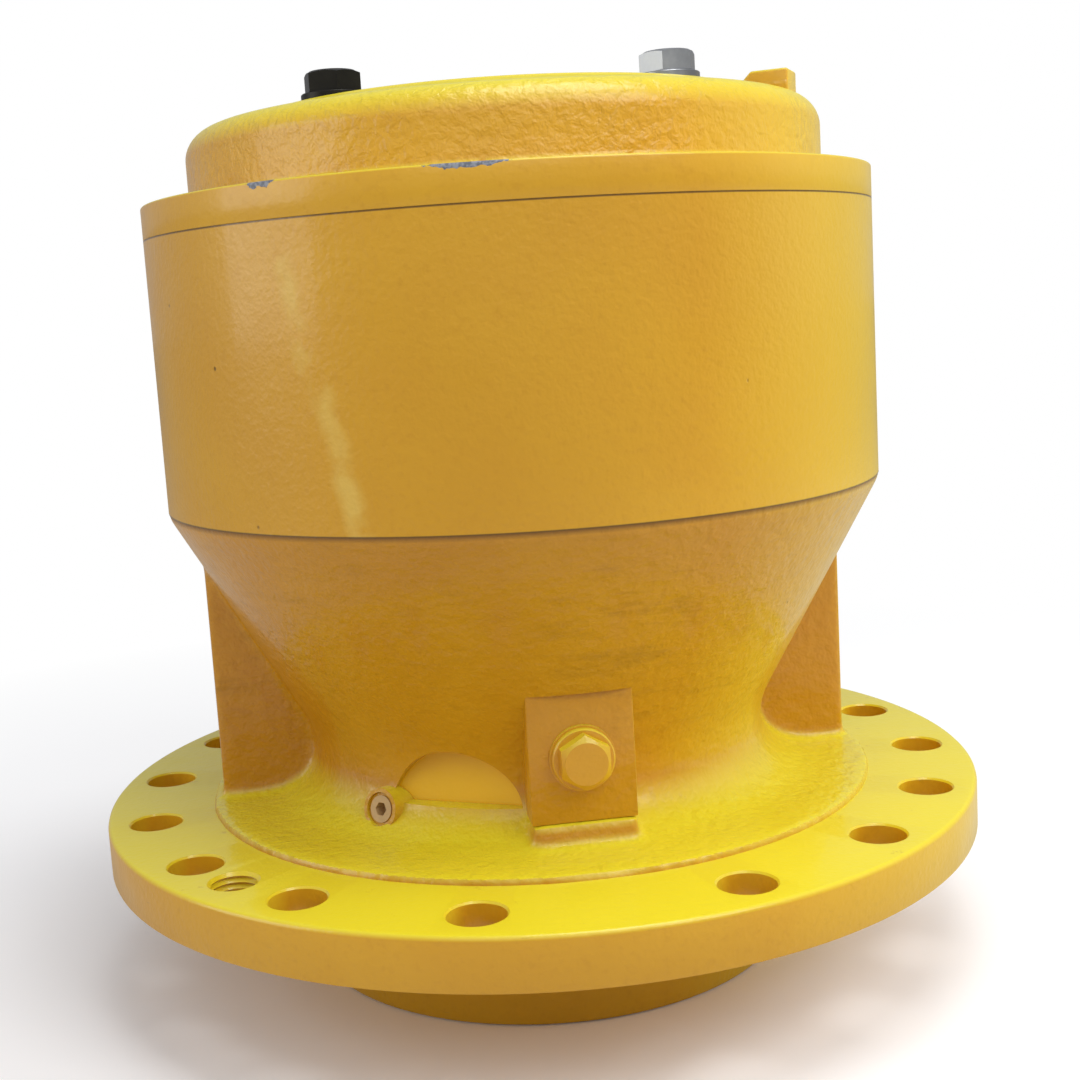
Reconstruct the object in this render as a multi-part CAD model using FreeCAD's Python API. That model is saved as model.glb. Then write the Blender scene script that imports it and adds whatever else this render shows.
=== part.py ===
import FreeCAD, Part
import math
import os
from types import SimpleNamespace

# Swing reduction gearbox of an excavator: a two-stage planetary drive in a cast
# housing.  The Z axis is the axis of every shaft, the origin is the centre of the
# mounting flange's underside, and -Y is the front, where the oil drain pad is.
# Every size is in millimetres and every angle in degrees.

# ---- Clearances ----------------------------------------------------------------
running_fit = 0.05             # radial, between bodies that turn on each other
seat_fit = 0.02                # radial, between pieces assembled into each other
spline_fit = 0.10
side_gap = 0.2                 # between a gear's face and what it runs against
screw_play = 0.5               # radial, round the screws in their clearance holes

# ---- Gears ---------------------------------------------------------------------
gear_module = 5.0
pressure_angle = 20.0
addendum = 1.0                 # in modules
ring_addendum = 0.85
dedendum = 1.25
backlash = 0.35
ring_teeth = 57
ring_wall = 36.25              # outside of the ring gear over the roots of its teeth
sun_2_teeth = 21               # lower stage, next to the output
planet_2_teeth = 18
planet_2_width = 47.0
sun_1_teeth = 15               # upper stage, next to the motor
planet_1_teeth = 21
planet_1_width = 32.0
sun_1_lift = 1.0               # input sun's teeth over its planets'
planet_count = 3
first_planet_angle = 90.0      # from +X

# ---- Planets and their carriers ------------------------------------------------
pin_2_radius = 19.0
pin_1_radius = 14.0
bearing_2_wall = 8.0
bearing_1_wall = 7.0
bearing_rollers = 12
lobe_depth = 1.2
washer_thickness = 1.5
washer_land = 4.0              # washer's radius over the planet's bore
roll_pin_radius = 3.0
roll_pin_sink = 0.5
plate_chamfer = 1.5
carrier_2_rim = 8.5            # of the plates outside the planet pins
carrier_2_floor_plate = 26.0
carrier_2_top_plate = 14.0
carrier_2_window_gap = 8.5     # round the sun gear in the upper plate
carrier_1_rim = 7.0
carrier_1_floor_plate = 12.0
carrier_1_top_plate = 10.0
carrier_1_window_gap = 4.0
carrier_1_collar = 6.0
carrier_1_collar_radius = 60.0
carrier_gap = 2.6              # between the two carriers
post_half_angle_2 = 24.0
post_half_angle_1 = 18.0
post_gap_2 = 22.5              # between a sun gear's tips and the posts
post_gap_1 = 30.5
pin_2_seat = 24.0              # depth of the planet pins in the lower plate
pin_1_seat = 11.0

# ---- Splines, retaining rings and thrust buttons -------------------------------
spline_depth = 2.5
sun_2_spline_radius = 44.0
sun_2_spline_teeth = 24
sun_2_inset = 0.6              # end of the lower sun's shank below its carrier's plate
hub_spline_radius = 52.0
hub_spline_teeth = 30
hub_inset = 3.1
snap_ring_inset = 5.0          # groove's floor below the end of the shaft
snap_ring_thickness = 3.0
snap_ring_width = 6.0          # recess round the ring, over the spline
snap_ring_gap = 16.0
snap_groove_depth = 5.0
button_radius = 12.0
button_seat = 14.0
output_bore_radius = 42.0
output_bore_length = 14.0
output_spline_minor = 37.0
output_spline_major = 40.0
output_spline_teeth = 25
output_spline_length = 122.0
input_bore_radius = 20.5
input_bore_length = 8.0
input_spline_minor = 17.5
input_spline_major = 19.5
input_spline_teeth = 18
input_spline_length = 54.0
input_shank_radius = 30.0
input_inset = 21.5             # end of the input sun below the motor's face

# ---- Output bearings, seal and nut ---------------------------------------------
bearing_bore = 62.5
bearing_outer = 95.0
bearing_height = 40.0
bearing_tilt = 14.0
bearing_rib = 4.0
roller_radius = 7.5
roller_length = 29.0
roller_count = 18
cage_wall = 2.4
cage_play = 0.4
lip_height = 6.0               # of the shoulders that the bearing cups seat on
lip_width = 11.0
chamber_step = 5.0             # chamber between the bearings, inside the cups' seats
seal_journal_step = 7.5        # seal's journal over the bearing seat
seal_height = 15.0
seal_recess = 7.0
seal_gap = 5.0                 # between the seal and the lower bearing
hub_recess = 3.0               # hub's face above the end of the pilot
nut_wall = 18.0
nut_height = 14.0
nut_slots = 4
nut_slot_width = 10.0
nut_slot_depth = 6.0
nut_gap = 19.6                 # between the nut and the lower carrier
thread_step = 4.5              # nut's thread inside the bearing seat
lock_washer_thickness = 1.5

# ---- Lower housing -------------------------------------------------------------
flange_thickness = 25.0
flange_chamfer = 2.5
underside_chamfer = 1.0
land_height = 3.0              # cast land round the foot of the neck
pilot_length = 65.0
pilot_chamfer = 3.0
pilot_wall = 32.0
housing_height = 181.0         # flange underside to the ring gear
cone_slope = 0.548             # growth in radius for each millimetre of height
cone_wall = 18.0
foot_fillet = 30.0             # waist between the cone and the land
mouth_band = 1.5               # straight rim under the ring gear

hole_count = 16
hole_radius = 13.0
hole_circle_step = 21.0        # flange holes outside the ring gear
flange_edge = 24.0             # flange outside the hole circle
land_gap = 30.0                # hole circle outside the land
front_hole_angle = 16.45       # half of the wide gap at the front and at the rear
next_hole_angle = 40.0         # second hole of each side
jack_hole_radius = 10.5
jack_hole_angles = (-51.4, 132.7)

rib_setback = 15.0             # gussets' edge inside the ring gear's outside
rib_thickness = 22.0
rib_rounding = 5.0
rib_angles = (-90.0, 90.0, 180.0)

pad_distance = 139.0           # axis to the face of the drain pad
pad_width = 49.5
pad_overhang = 2.3             # cone over the pad's top edge
pad_foot_height = 11.0
pad_foot_step = 3.5
drain_thread_radius = 9.5
drain_thread_length = 22.0
drain_hex = 23.0
drain_hex_height = 12.0
drain_flange_radius = 14.5
drain_flange_height = 3.0
drain_washer_thickness = 1.5

pocket_angle = -28.2           # round-topped facet cut into the waist
pocket_radius = 35.0
pocket_reach = 13.5            # its middle outside the cone's foot
pocket_rise = 5.0              # centre of the arch above the land
pocket_floor_rise = 14.0
pocket_draft = 8.0

level_angle = -45.0            # small socket plug beside the pocket
level_reach = 28.0             # its face outside the cone's foot
level_rise = 11.5              # above the land
level_tilt = 14.0
level_boss_radius = 10.0
level_boss_spread = 1.6        # foot of the boss over its face
level_plug_radius = 6.5
level_plug_length = 12.0
level_plug_socket = 6.0
level_recess = 1.6             # width and depth of the recess round the plug

# ---- Cover ---------------------------------------------------------------------
cover_gap = 1.0                # joint face above the upper carrier
cover_flange = 16.0
cover_height = 54.5            # joint face to the dome's shoulder
cover_rounding = 16.0
cover_crown = 4.0
cover_top_wall = 28.0
cover_inner_step = 8.0
ledge_fillet = 4.0
dome_gap = 0.2                 # between the counterbores and the dome
motor_face_rise = 2.5
motor_face_edge = 16.0
motor_spigot_radius = 75.0
motor_spigot_depth = 14.0
motor_spigot_ledge = 13.0
motor_bolt_circle = 220.0
zinc_bolt_angle = 37.5         # from the front towards +X
black_bolt_angle = zinc_bolt_angle - 90.0
motor_thread_radius = 7.0
motor_thread_depth = 24.0
motor_bolt_hex = 24.0
motor_bolt_head = 10.0
motor_bolt_grip = 18.0         # thread in the cover
motor_washer_radius = 15.0
motor_washer_thickness = 3.0
crown_slope = 0.12             # drop over radius of the bevel on hexagon heads
crown_flat = 0.46              # radius of a head's flat top over its flats
filler_angle = 60.0
filler_width = 20.0
filler_length = 22.0
filler_gap = 0.5               # between the motor's face and the filler boss
filler_rise = 7.0
filler_slope_run = 4.0         # inner end of the boss, sloped beside the motor
filler_slope_rise = 4.5
filler_chamfer = 1.5
filler_plug_radius = 6.0
filler_plug_length = 12.0
filler_socket = 6.0
plug_sink = 0.5

# ---- Screws, pins and seals between the castings -------------------------------
spigot_height = 4.0
spigot_wall = 5.0
rebate_gap = 0.5               # end of a spigot to the floor of its rebate
bore_step = 0.75               # castings' bores inside the roots of the ring's teeth
screw_count = 16
screw_edge = 15.5              # screw circle inside the ring gear's outside
screw_radius = 5.0
screw_head_radius = 8.0
screw_head_height = 10.0
screw_socket = 8.0
screw_grip = 14.0              # thread in the housing
counterbore_radius = 8.3
counterbore_depth = 11.0
dowel_radius = 4.0
dowel_length = 20.0
dowel_count = 2
o_ring_cord = 2.5
o_ring_land = 5.0              # between the spigot and the middle of the cord

# ---- Radii that follow ---------------------------------------------------------
pitch_factor = gear_module / 2.0
ring_root = pitch_factor * ring_teeth + dedendum * gear_module
ring_radius = ring_root + ring_wall
cover_bore_radius = ring_root - bore_step
spigot_outer = cover_bore_radius + spigot_wall
o_ring_radius = spigot_outer + o_ring_land
screw_circle = ring_radius - screw_edge
cover_radius = screw_circle - counterbore_radius - dome_gap
hole_circle_radius = ring_radius + hole_circle_step
flange_radius = hole_circle_radius + flange_edge
land_radius = hole_circle_radius - land_gap
rib_radius = ring_radius - rib_setback
pilot_radius = bearing_outer + pilot_wall
lip_radius = bearing_outer - lip_width
chamber_radius = bearing_outer - chamber_step
seal_journal_radius = bearing_bore + seal_journal_step
nut_bore = bearing_bore - thread_step
nut_radius = nut_bore + nut_wall
motor_face_radius = motor_bolt_circle / 2.0 + motor_face_edge
motor_opening_radius = motor_spigot_radius - motor_spigot_ledge
filler_distance = motor_face_radius + motor_face_rise + filler_gap + filler_length / 2.0

# ---- Heights that follow -------------------------------------------------------
land_top = flange_thickness + land_height
pilot_end = -pilot_length
hub_floor = pilot_end + hub_recess
seal_floor = pilot_end + seal_recess
lower_bearing_floor = seal_floor + seal_height + seal_gap
rebate_depth = spigot_height + rebate_gap
planet_2_floor = housing_height + rebate_depth + washer_thickness - side_gap
carrier_2_plate = planet_2_floor - side_gap - washer_thickness
hub_top = carrier_2_plate - hub_inset
nut_floor = carrier_2_plate - carrier_2_floor_plate - nut_gap - nut_height
upper_bearing_floor = nut_floor - lock_washer_thickness - bearing_height
carrier_2_top = planet_2_floor + planet_2_width + side_gap + washer_thickness + carrier_2_top_plate
carrier_1_plate = carrier_2_top + carrier_gap + carrier_1_collar + carrier_1_floor_plate
planet_1_floor = carrier_1_plate + washer_thickness + side_gap
sun_2_top = carrier_1_plate - sun_2_inset
sun_1_floor = planet_1_floor + sun_1_lift
carrier_1_top = planet_1_floor + planet_1_width + side_gap + washer_thickness + carrier_1_top_plate
ring_top = carrier_1_top + cover_gap
cover_ledge = ring_top + cover_flange
dome_shoulder = ring_top + cover_height
motor_face = dome_shoulder + motor_face_rise
input_top = motor_face - input_inset
cone_top = housing_height - mouth_band
pad_top = cone_top - (ring_radius - pad_distance - pad_overhang) / cone_slope
drain_height = (land_top + pad_foot_height + pad_top) / 2.0
foot_radius = ring_radius - cone_slope * (cone_top - land_top)
pocket_distance = foot_radius + pocket_reach
pocket_height = land_top + pocket_rise
pocket_floor = land_top + pocket_floor_rise
level_distance = foot_radius + level_reach
level_height = land_top + level_rise

X_AXIS = FreeCAD.Vector(1, 0, 0)
Y_AXIS = FreeCAD.Vector(0, 1, 0)
Z_AXIS = FreeCAD.Vector(0, 0, 1)
ORIGIN = FreeCAD.Vector(0, 0, 0)


# ---- Helpers -------------------------------------------------------------------
def at(radius, height):
    """Point in the XZ plane."""
    return FreeCAD.Vector(radius, 0, height)


def corner_arc(before, corner, after, fillet):
    """Arc tangent to both edges that meet at the corner."""
    to_before = (before - corner).normalize()
    to_after = (after - corner).normalize()
    half_angle = to_before.getAngle(to_after) / 2.0
    run = fillet / math.tan(half_angle)
    bisector = (to_before + to_after).normalize()
    centre = corner + bisector * (fillet / math.sin(half_angle))
    start = corner + to_before * run
    end = corner + to_after * run
    return start, Part.Arc(start, centre - bisector * fillet, end), end


def profile_face(corners):
    """Face in the XZ plane from (radius, height) or (radius, height, fillet) corners."""
    points = [at(corner[0], corner[1]) for corner in corners]
    pieces = []
    for index, corner in enumerate(corners):
        point = points[index]
        if len(corner) == 2:
            pieces.append((point, None, point))
        else:
            following = points[(index + 1) % len(points)]
            pieces.append(corner_arc(points[index - 1], point, following, corner[2]))
    edges = []
    for index, (start, arc, end) in enumerate(pieces):
        if arc is not None:
            edges.append(arc.toShape())
        following_start = pieces[(index + 1) % len(pieces)][0]
        edges.append(Part.makeLine(end, following_start))
    return Part.Face(Part.Wire(edges))


def turned(corners):
    """Solid of revolution round Z."""
    return profile_face(corners).revolve(ORIGIN, Z_AXIS, 360)


def tube(inner, outer, floor, top):
    """Plain ring round Z, or a disc where the inner radius is 0."""
    if inner <= 0:
        return Part.makeCylinder(outer, top - floor, at(0, floor))
    return turned([(inner, floor), (outer, floor), (outer, top), (inner, top)])


def chamfered_tube(inner, outer, floor, top, chamfer):
    """Ring round Z with its two outer edges bevelled."""
    return turned([
        (inner, floor), (outer - chamfer, floor), (outer, floor + chamfer),
        (outer, top - chamfer), (outer - chamfer, top), (inner, top)])


def rotated(shape, degrees):
    """Copy turned about Z."""
    copy = shape.copy()
    copy.rotate(ORIGIN, Z_AXIS, degrees)
    return copy


def around(shape, count, first=0.0):
    """Copies spaced evenly about Z."""
    return [rotated(shape, first + 360.0 * index / count) for index in range(count)]


def facing(shape, degrees):
    """Copy of a shape drawn at the front (-Y), turned towards +X by the angle."""
    return rotated(shape, degrees)


def moved(shape, x, y, z=0.0):
    """Copy shifted by a vector."""
    copy = shape.copy()
    copy.translate(FreeCAD.Vector(x, y, z))
    return copy


def polar(distance, degrees, height=0.0):
    """Point at a distance from the axis, at an angle from +X."""
    angle = math.radians(degrees)
    return FreeCAD.Vector(distance * math.cos(angle), distance * math.sin(angle), height)


def prism(points, floor, top):
    """Upright prism on a closed outline of points."""
    base = [FreeCAD.Vector(point.x, point.y, floor) for point in points]
    face = Part.Face(Part.makePolygon(base + base[:1]))
    return face.extrude(FreeCAD.Vector(0, 0, top - floor))


def hexagon(across_flats, floor, top):
    """Upright hexagonal bar on the Z axis."""
    corner = across_flats / math.sqrt(3.0)
    return prism([polar(corner, 60.0 * side) for side in range(6)], floor, top)


def one_solid(shape):
    """The single clean solid of a boolean result."""
    return shape.removeSplitter().Solids[0]


def save(name, shape):
    """Write one named piece, or one group of like pieces."""
    if isinstance(shape, (list, tuple)):
        shape = Part.makeCompound(shape)
    if not shape.isValid():
        raise ValueError(name + " is not a valid shape")
    shape.exportStep(os.path.join("parts", name + ".step"))


# ---- Tooth and spline outlines -------------------------------------------------
def involute_angle(base_radius, radius):
    """Polar angle, in degrees, that an involute has unwound at a radius."""
    tangent = math.sqrt(max(radius ** 2 / base_radius ** 2 - 1.0, 0.0))
    return math.degrees(tangent - math.atan(tangent))


def gear_outline(teeth, tip_radius, root_radius, thinning, flank_steps=3):
    """Outline of a spur gear with one tooth centred on +X; thinning is off each tooth's arc."""
    pitch = pitch_factor * teeth
    base = pitch * math.cos(math.radians(pressure_angle))
    half_tooth = 90.0 / teeth - math.degrees(thinning / 2.0 / pitch)
    base_half = half_tooth + involute_angle(base, pitch)
    first = max(base, root_radius)
    radii = [first + (tip_radius - first) * step / flank_steps for step in range(flank_steps + 1)]
    flank = [(radius, base_half - involute_angle(base, radius)) for radius in radii]
    if root_radius < base:
        flank.insert(0, (root_radius, base_half))
    outline = []
    for tooth in range(teeth):
        centre = 360.0 * tooth / teeth
        outline += [polar(radius, centre - half) for radius, half in flank]
        outline += [polar(radius, centre + half) for radius, half in reversed(flank)]
    return outline


def external_gear(teeth, floor, top):
    """Toothed blank with one tooth centred on +X."""
    pitch = pitch_factor * teeth
    tip = pitch + addendum * gear_module
    root = pitch - dedendum * gear_module
    return prism(gear_outline(teeth, tip, root, backlash), floor, top)


def spline_outline(teeth, inner, outer, grow=0.0):
    """Straight-sided spline outline; grow widens it all round for the female side."""
    step = 360.0 / teeth
    root_half = step * 0.25 + math.degrees(grow / outer)
    tip_half = step * 0.20 + math.degrees(grow / outer)
    outline = []
    for index in range(teeth):
        centre = index * step
        outline.append(polar(inner + grow, centre - root_half))
        outline.append(polar(outer + grow, centre - tip_half))
        outline.append(polar(outer + grow, centre + tip_half))
        outline.append(polar(inner + grow, centre + root_half))
    return outline


def ring_phase(planet_angle, planet_teeth):
    """Angle of a planet's tooth 0 that puts the planet in mesh with the ring gear."""
    return planet_angle - planet_angle * ring_teeth / planet_teeth


def sun_phase(planet_angle, planet_teeth, sun_teeth):
    """Angle of a sun's tooth 0 that puts the sun in mesh with that planet."""
    behind = planet_angle + 180.0 - ring_phase(planet_angle, planet_teeth)
    return planet_angle - 180.0 / sun_teeth + behind * planet_teeth / sun_teeth


def planet_angles():
    """Direction of each planet from the axis, the same in both stages."""
    return [first_planet_angle + 360.0 * index / planet_count for index in range(planet_count)]


# ---- Lower housing -------------------------------------------------------------
def housing_blank():
    """Outside of the casting: pilot, flange, land, waist and cone."""
    return turned([
        (0.0, pilot_end),
        (pilot_radius - pilot_chamfer, pilot_end),
        (pilot_radius, pilot_end + pilot_chamfer),
        (pilot_radius, 0.0),
        (flange_radius - underside_chamfer, 0.0),
        (flange_radius, underside_chamfer),
        (flange_radius, flange_thickness - flange_chamfer),
        (flange_radius - flange_chamfer, flange_thickness),
        (land_radius + land_height, flange_thickness),
        (land_radius, land_top),
        (foot_radius, land_top, foot_fillet),
        (ring_radius, cone_top),
        (ring_radius, housing_height),
        (spigot_outer, housing_height),
        (spigot_outer, housing_height + spigot_height),
        (0.0, housing_height + spigot_height)])


def housing_cavity():
    """Inside of the casting: seal bore, two bearing seats, chamber between them, gear space."""
    lower_seat_top = lower_bearing_floor + bearing_height
    upper_seat_top = upper_bearing_floor + bearing_height
    cavity_floor = upper_seat_top + lip_height
    cavity_height = housing_height - (ring_radius - cone_wall - cover_bore_radius) / cone_slope
    cavity_floor_radius = cover_bore_radius - cone_slope * (cavity_height - cavity_floor)
    return turned([
        (0.0, pilot_end),
        (bearing_outer, pilot_end),
        (bearing_outer, lower_seat_top),
        (lip_radius, lower_seat_top),
        (lip_radius, lower_seat_top + lip_height),
        (chamber_radius, lower_seat_top + lip_height),
        (chamber_radius, upper_bearing_floor - lip_height),
        (lip_radius, upper_bearing_floor - lip_height),
        (lip_radius, upper_bearing_floor),
        (bearing_outer, upper_bearing_floor),
        (bearing_outer, cavity_floor),
        (cavity_floor_radius, cavity_floor),
        (cover_bore_radius, cavity_height),
        (cover_bore_radius, housing_height + spigot_height),
        (0.0, housing_height + spigot_height)])


def flange_hole_angles():
    """Angles from the front of the flange holes, with wide gaps at the front and the rear."""
    side_count = hole_count // 2
    side_step = (180.0 - front_hole_angle - next_hole_angle) / (side_count - 2)
    one_side = [front_hole_angle]
    one_side += [next_hole_angle + side_step * index for index in range(side_count - 2)]
    one_side.append(180.0 - front_hole_angle)
    return one_side + [-angle for angle in one_side]


def flange_hole(radius, angle):
    """Upright drill through the flange."""
    drill = Part.makeCylinder(
        radius, flange_thickness + 2.0, FreeCAD.Vector(0, -hole_circle_radius, -1.0))
    return facing(drill, angle)


def rib():
    """Upright gusset between the flange and the cone, drawn along +X."""
    top = cone_top - (ring_radius - rib_radius) / cone_slope
    blade = Part.makeBox(
        rib_radius - chamber_radius, rib_thickness, top - flange_thickness,
        FreeCAD.Vector(chamber_radius, -rib_thickness / 2.0, flange_thickness))
    outer_edges = [
        edge for edge in blade.Edges
        if edge.BoundBox.ZLength > rib_rounding and edge.BoundBox.XMin > rib_radius - rib_rounding]
    return blade.makeFillet(rib_rounding, outer_edges)


def drain_pad():
    """Rectangular block at the front whose machined face carries the drain plug."""
    foot_distance = pad_distance + pad_foot_step
    block = Part.makeBox(
        pad_width, pad_distance - chamber_radius, pad_top - land_top,
        FreeCAD.Vector(-pad_width / 2.0, -pad_distance, land_top))
    foot = Part.makeBox(
        pad_width, foot_distance - chamber_radius, pad_foot_height,
        FreeCAD.Vector(-pad_width / 2.0, -foot_distance, land_top))
    return block.fuse(foot)


def drain_bore():
    """Drill from the pad's face into the chamber between the bearings."""
    return Part.makeCylinder(
        drain_thread_radius + seat_fit, pad_distance - chamber_radius + lip_height,
        FreeCAD.Vector(0, -pad_distance, drain_height), Y_AXIS)


def level_axis():
    """Outward direction of the socket plug when it is drawn at the front."""
    tilt = math.radians(level_tilt)
    return FreeCAD.Vector(0, -math.cos(tilt), math.sin(tilt))


def level_face():
    """Centre of the socket plug's boss face when it is drawn at the front."""
    return FreeCAD.Vector(0, -level_distance, level_height)


def level_boss():
    """Tapered boss round the socket plug."""
    depth = level_distance - chamber_radius
    foot = level_face() - level_axis() * depth
    boss = Part.makeCone(level_boss_radius * level_boss_spread, level_boss_radius, depth, foot, level_axis())
    return facing(boss, level_angle)


def level_bore():
    """Drill of the socket plug and the shallow recess round its face."""
    depth = level_distance - chamber_radius + lip_height
    drill = Part.makeCylinder(
        level_plug_radius + seat_fit, depth, level_face() - level_axis() * depth, level_axis())
    recess = Part.makeCylinder(
        level_plug_radius + level_recess, 2.0 * level_recess,
        level_face() - level_axis() * level_recess, level_axis())
    return facing(drill.fuse(recess), level_angle)


def arched_pocket():
    """Cutter of the round-topped facet between two flange holes, which leans back a little."""
    centre = FreeCAD.Vector(0, -pocket_distance, pocket_height)
    reach = land_radius - pocket_distance
    arch = Part.makeCylinder(pocket_radius, reach, centre, -Y_AXIS)
    arch.rotate(centre, X_AXIS, -pocket_draft)
    height = pocket_height + pocket_radius - pocket_floor
    room = Part.makeBox(
        2.0 * pocket_radius, land_radius, height, FreeCAD.Vector(-pocket_radius, -land_radius, pocket_floor))
    return facing(arch.common(room), pocket_angle)


def lower_housing():
    body = housing_blank().cut(arched_pocket())
    body = body.fuse([facing(rotated(rib(), -90.0), angle) for angle in rib_angles])
    body = body.fuse([drain_pad(), level_boss()])
    cutters = [housing_cavity(), level_bore(), drain_bore(), o_ring_groove(housing_height, -1.0)]
    cutters += [flange_hole(hole_radius, angle) for angle in flange_hole_angles()]
    cutters += [flange_hole(jack_hole_radius, angle) for angle in jack_hole_angles]
    cutters += screw_drills(screw_radius + seat_fit, housing_height - screw_grip - 1.0, housing_height)
    cutters += dowel_drills(housing_height)
    return one_solid(body.cut(cutters))


# ---- Joint details shared by housing, ring gear and cover ----------------------
def screw_drills(radius, floor, top):
    """Upright drills on the screw circle."""
    drill = Part.makeCylinder(radius, top - floor, at(screw_circle, floor))
    return around(drill, screw_count, 180.0 / screw_count)


def dowel_drills(joint_height):
    """Drills for the dowel pins across one joint face."""
    floor = joint_height - dowel_length / 2.0 - rebate_gap
    drill = Part.makeCylinder(
        dowel_radius + seat_fit, dowel_length + 2.0 * rebate_gap, at(screw_circle, floor))
    return around(drill, dowel_count, 0.0)


def o_ring_groove(joint_height, side):
    """Groove in a joint face; side is +1 when it is cut upwards, -1 downwards."""
    depth = o_ring_cord + seat_fit
    far = joint_height + side * depth
    half = o_ring_cord / 2.0 + seat_fit
    return tube(o_ring_radius - half, o_ring_radius + half, min(joint_height, far), max(joint_height, far))


def o_ring(joint_height, side):
    """Seal ring lying in its groove."""
    cord = o_ring_cord / 2.0
    return Part.makeTorus(o_ring_radius, cord, at(0, joint_height + side * (cord + seat_fit)))


# ---- Ring gear, cover and what joins them --------------------------------------
def ring_gear():
    tip = pitch_factor * ring_teeth - ring_addendum * gear_module
    spaces = prism(gear_outline(ring_teeth, ring_root, tip, -backlash), housing_height, ring_top)
    body = tube(0.0, ring_radius, housing_height, ring_top)
    rebate_radius = spigot_outer + running_fit
    cutters = [
        spaces,
        tube(0.0, rebate_radius, housing_height, housing_height + rebate_depth),
        tube(0.0, rebate_radius, ring_top - rebate_depth, ring_top)]
    cutters += screw_drills(screw_radius + screw_play, housing_height, ring_top)
    cutters += dowel_drills(housing_height) + dowel_drills(ring_top)
    return one_solid(body.cut(cutters))


def cover_blank():
    """Section of the cover: spigot, flange, pebbled dome, motor face and its spigot bore."""
    ceiling = motor_face - cover_top_wall
    return turned([
        (cover_bore_radius, ring_top - spigot_height),
        (spigot_outer, ring_top - spigot_height),
        (spigot_outer, ring_top),
        (ring_radius, ring_top),
        (ring_radius, cover_ledge - underside_chamfer),
        (ring_radius - underside_chamfer, cover_ledge),
        (cover_radius, cover_ledge, ledge_fillet),
        (cover_radius, dome_shoulder - cover_crown, cover_rounding),
        (motor_face_radius + motor_face_rise, dome_shoulder),
        (motor_face_radius, motor_face),
        (motor_spigot_radius, motor_face),
        (motor_spigot_radius, motor_face - motor_spigot_depth),
        (motor_opening_radius, motor_face - motor_spigot_depth),
        (motor_opening_radius, ceiling),
        (cover_bore_radius - cover_inner_step, ceiling, cover_rounding),
        (cover_bore_radius, ring_top)])


def filler_boss():
    """Block on the shoulder of the dome that carries the filler plug."""
    floor = dome_shoulder - cover_rounding
    top = dome_shoulder + filler_rise
    inner = filler_length / 2.0 - filler_distance
    outer = inner - filler_length
    corners = [
        (inner, floor), (inner, top - filler_slope_rise), (inner - filler_slope_run, top),
        (outer, top), (outer, floor), (inner, floor)]
    side = Part.makePolygon([FreeCAD.Vector(-filler_width / 2.0, y, z) for y, z in corners])
    block = Part.Face(side).extrude(X_AXIS * filler_width)
    bend = inner - filler_slope_run - filler_chamfer
    rim = [
        edge for edge in block.Edges
        if edge.BoundBox.ZMin > top - filler_chamfer and edge.BoundBox.YMin < bend]
    return facing(block.makeChamfer(filler_chamfer, rim), filler_angle)


def filler_drill(radius, floor, top):
    """Upright drill at the filler boss."""
    drill = Part.makeCylinder(radius, top - floor, FreeCAD.Vector(0, -filler_distance, floor))
    return facing(drill, filler_angle)


def motor_bolt_angles():
    """Angles from the front of the four motor bolts."""
    return [zinc_bolt_angle + 90.0 * index for index in range(4)]


def motor_bolt_place(shape, angle):
    """Shape drawn on the Z axis, moved to one motor bolt."""
    return facing(moved(shape, 0.0, -motor_bolt_circle / 2.0), angle)


def top_cover():
    blind = Part.makeCylinder(
        motor_thread_radius, motor_thread_depth, at(0, motor_face - motor_thread_depth))
    cutters = [motor_bolt_place(blind, angle) for angle in motor_bolt_angles()]
    cutters += screw_drills(screw_radius + screw_play, ring_top, cover_ledge)
    cutters += screw_drills(counterbore_radius, cover_ledge - counterbore_depth, cover_ledge + ledge_fillet)
    cutters += dowel_drills(ring_top)
    cutters.append(o_ring_groove(ring_top, 1.0))
    filler_floor = dome_shoulder - cover_top_wall
    cutters.append(filler_drill(filler_plug_radius + seat_fit, filler_floor, dome_shoulder + filler_rise))
    return one_solid(cover_blank().fuse(filler_boss()).cut(cutters))


def cover_screws():
    """Long socket-head screws that clamp cover and ring gear to the housing."""
    shank_floor = housing_height - screw_grip
    head_floor = cover_ledge - counterbore_depth
    head_top = head_floor + screw_head_height
    shank = Part.makeCylinder(screw_radius, head_floor - shank_floor, at(0, shank_floor))
    head = Part.makeCylinder(screw_head_radius, screw_head_height, at(0, head_floor))
    socket = hexagon(screw_socket, head_top - screw_head_height / 2.0, head_top)
    screw = one_solid(head.fuse(shank).cut(socket))
    return around(moved(screw, screw_circle, 0.0), screw_count, 180.0 / screw_count)


def dowel_pins():
    """Pins that hold the three castings in line."""
    pins = []
    for joint_height in (housing_height, ring_top):
        floor = joint_height - dowel_length / 2.0
        pin = Part.makeCylinder(dowel_radius, dowel_length, at(screw_circle, floor))
        pins += around(pin, dowel_count, 0.0)
    return pins


# ---- Plugs and bolts -----------------------------------------------------------
def hexagon_head(across_flats, floor, top):
    """Hexagonal head whose top corners are turned off."""
    corner = across_flats / math.sqrt(3.0)
    crown = turned([
        (0.0, floor), (corner, floor), (corner, top - corner * crown_slope),
        (across_flats * crown_flat, top), (0.0, top)])
    return hexagon(across_flats, floor, top).common(crown)


def drain_plug():
    """Hexagon plug with a collar, lying along Y in the pad."""
    seat = drain_washer_thickness
    head_floor = seat + drain_flange_height
    thread = Part.makeCylinder(drain_thread_radius, seat + drain_thread_length, at(0, -drain_thread_length))
    collar = Part.makeCylinder(drain_flange_radius, drain_flange_height, at(0, seat))
    head = hexagon_head(drain_hex, head_floor, head_floor + drain_hex_height)
    return lying_on_pad(one_solid(thread.fuse([collar, head])))


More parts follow.
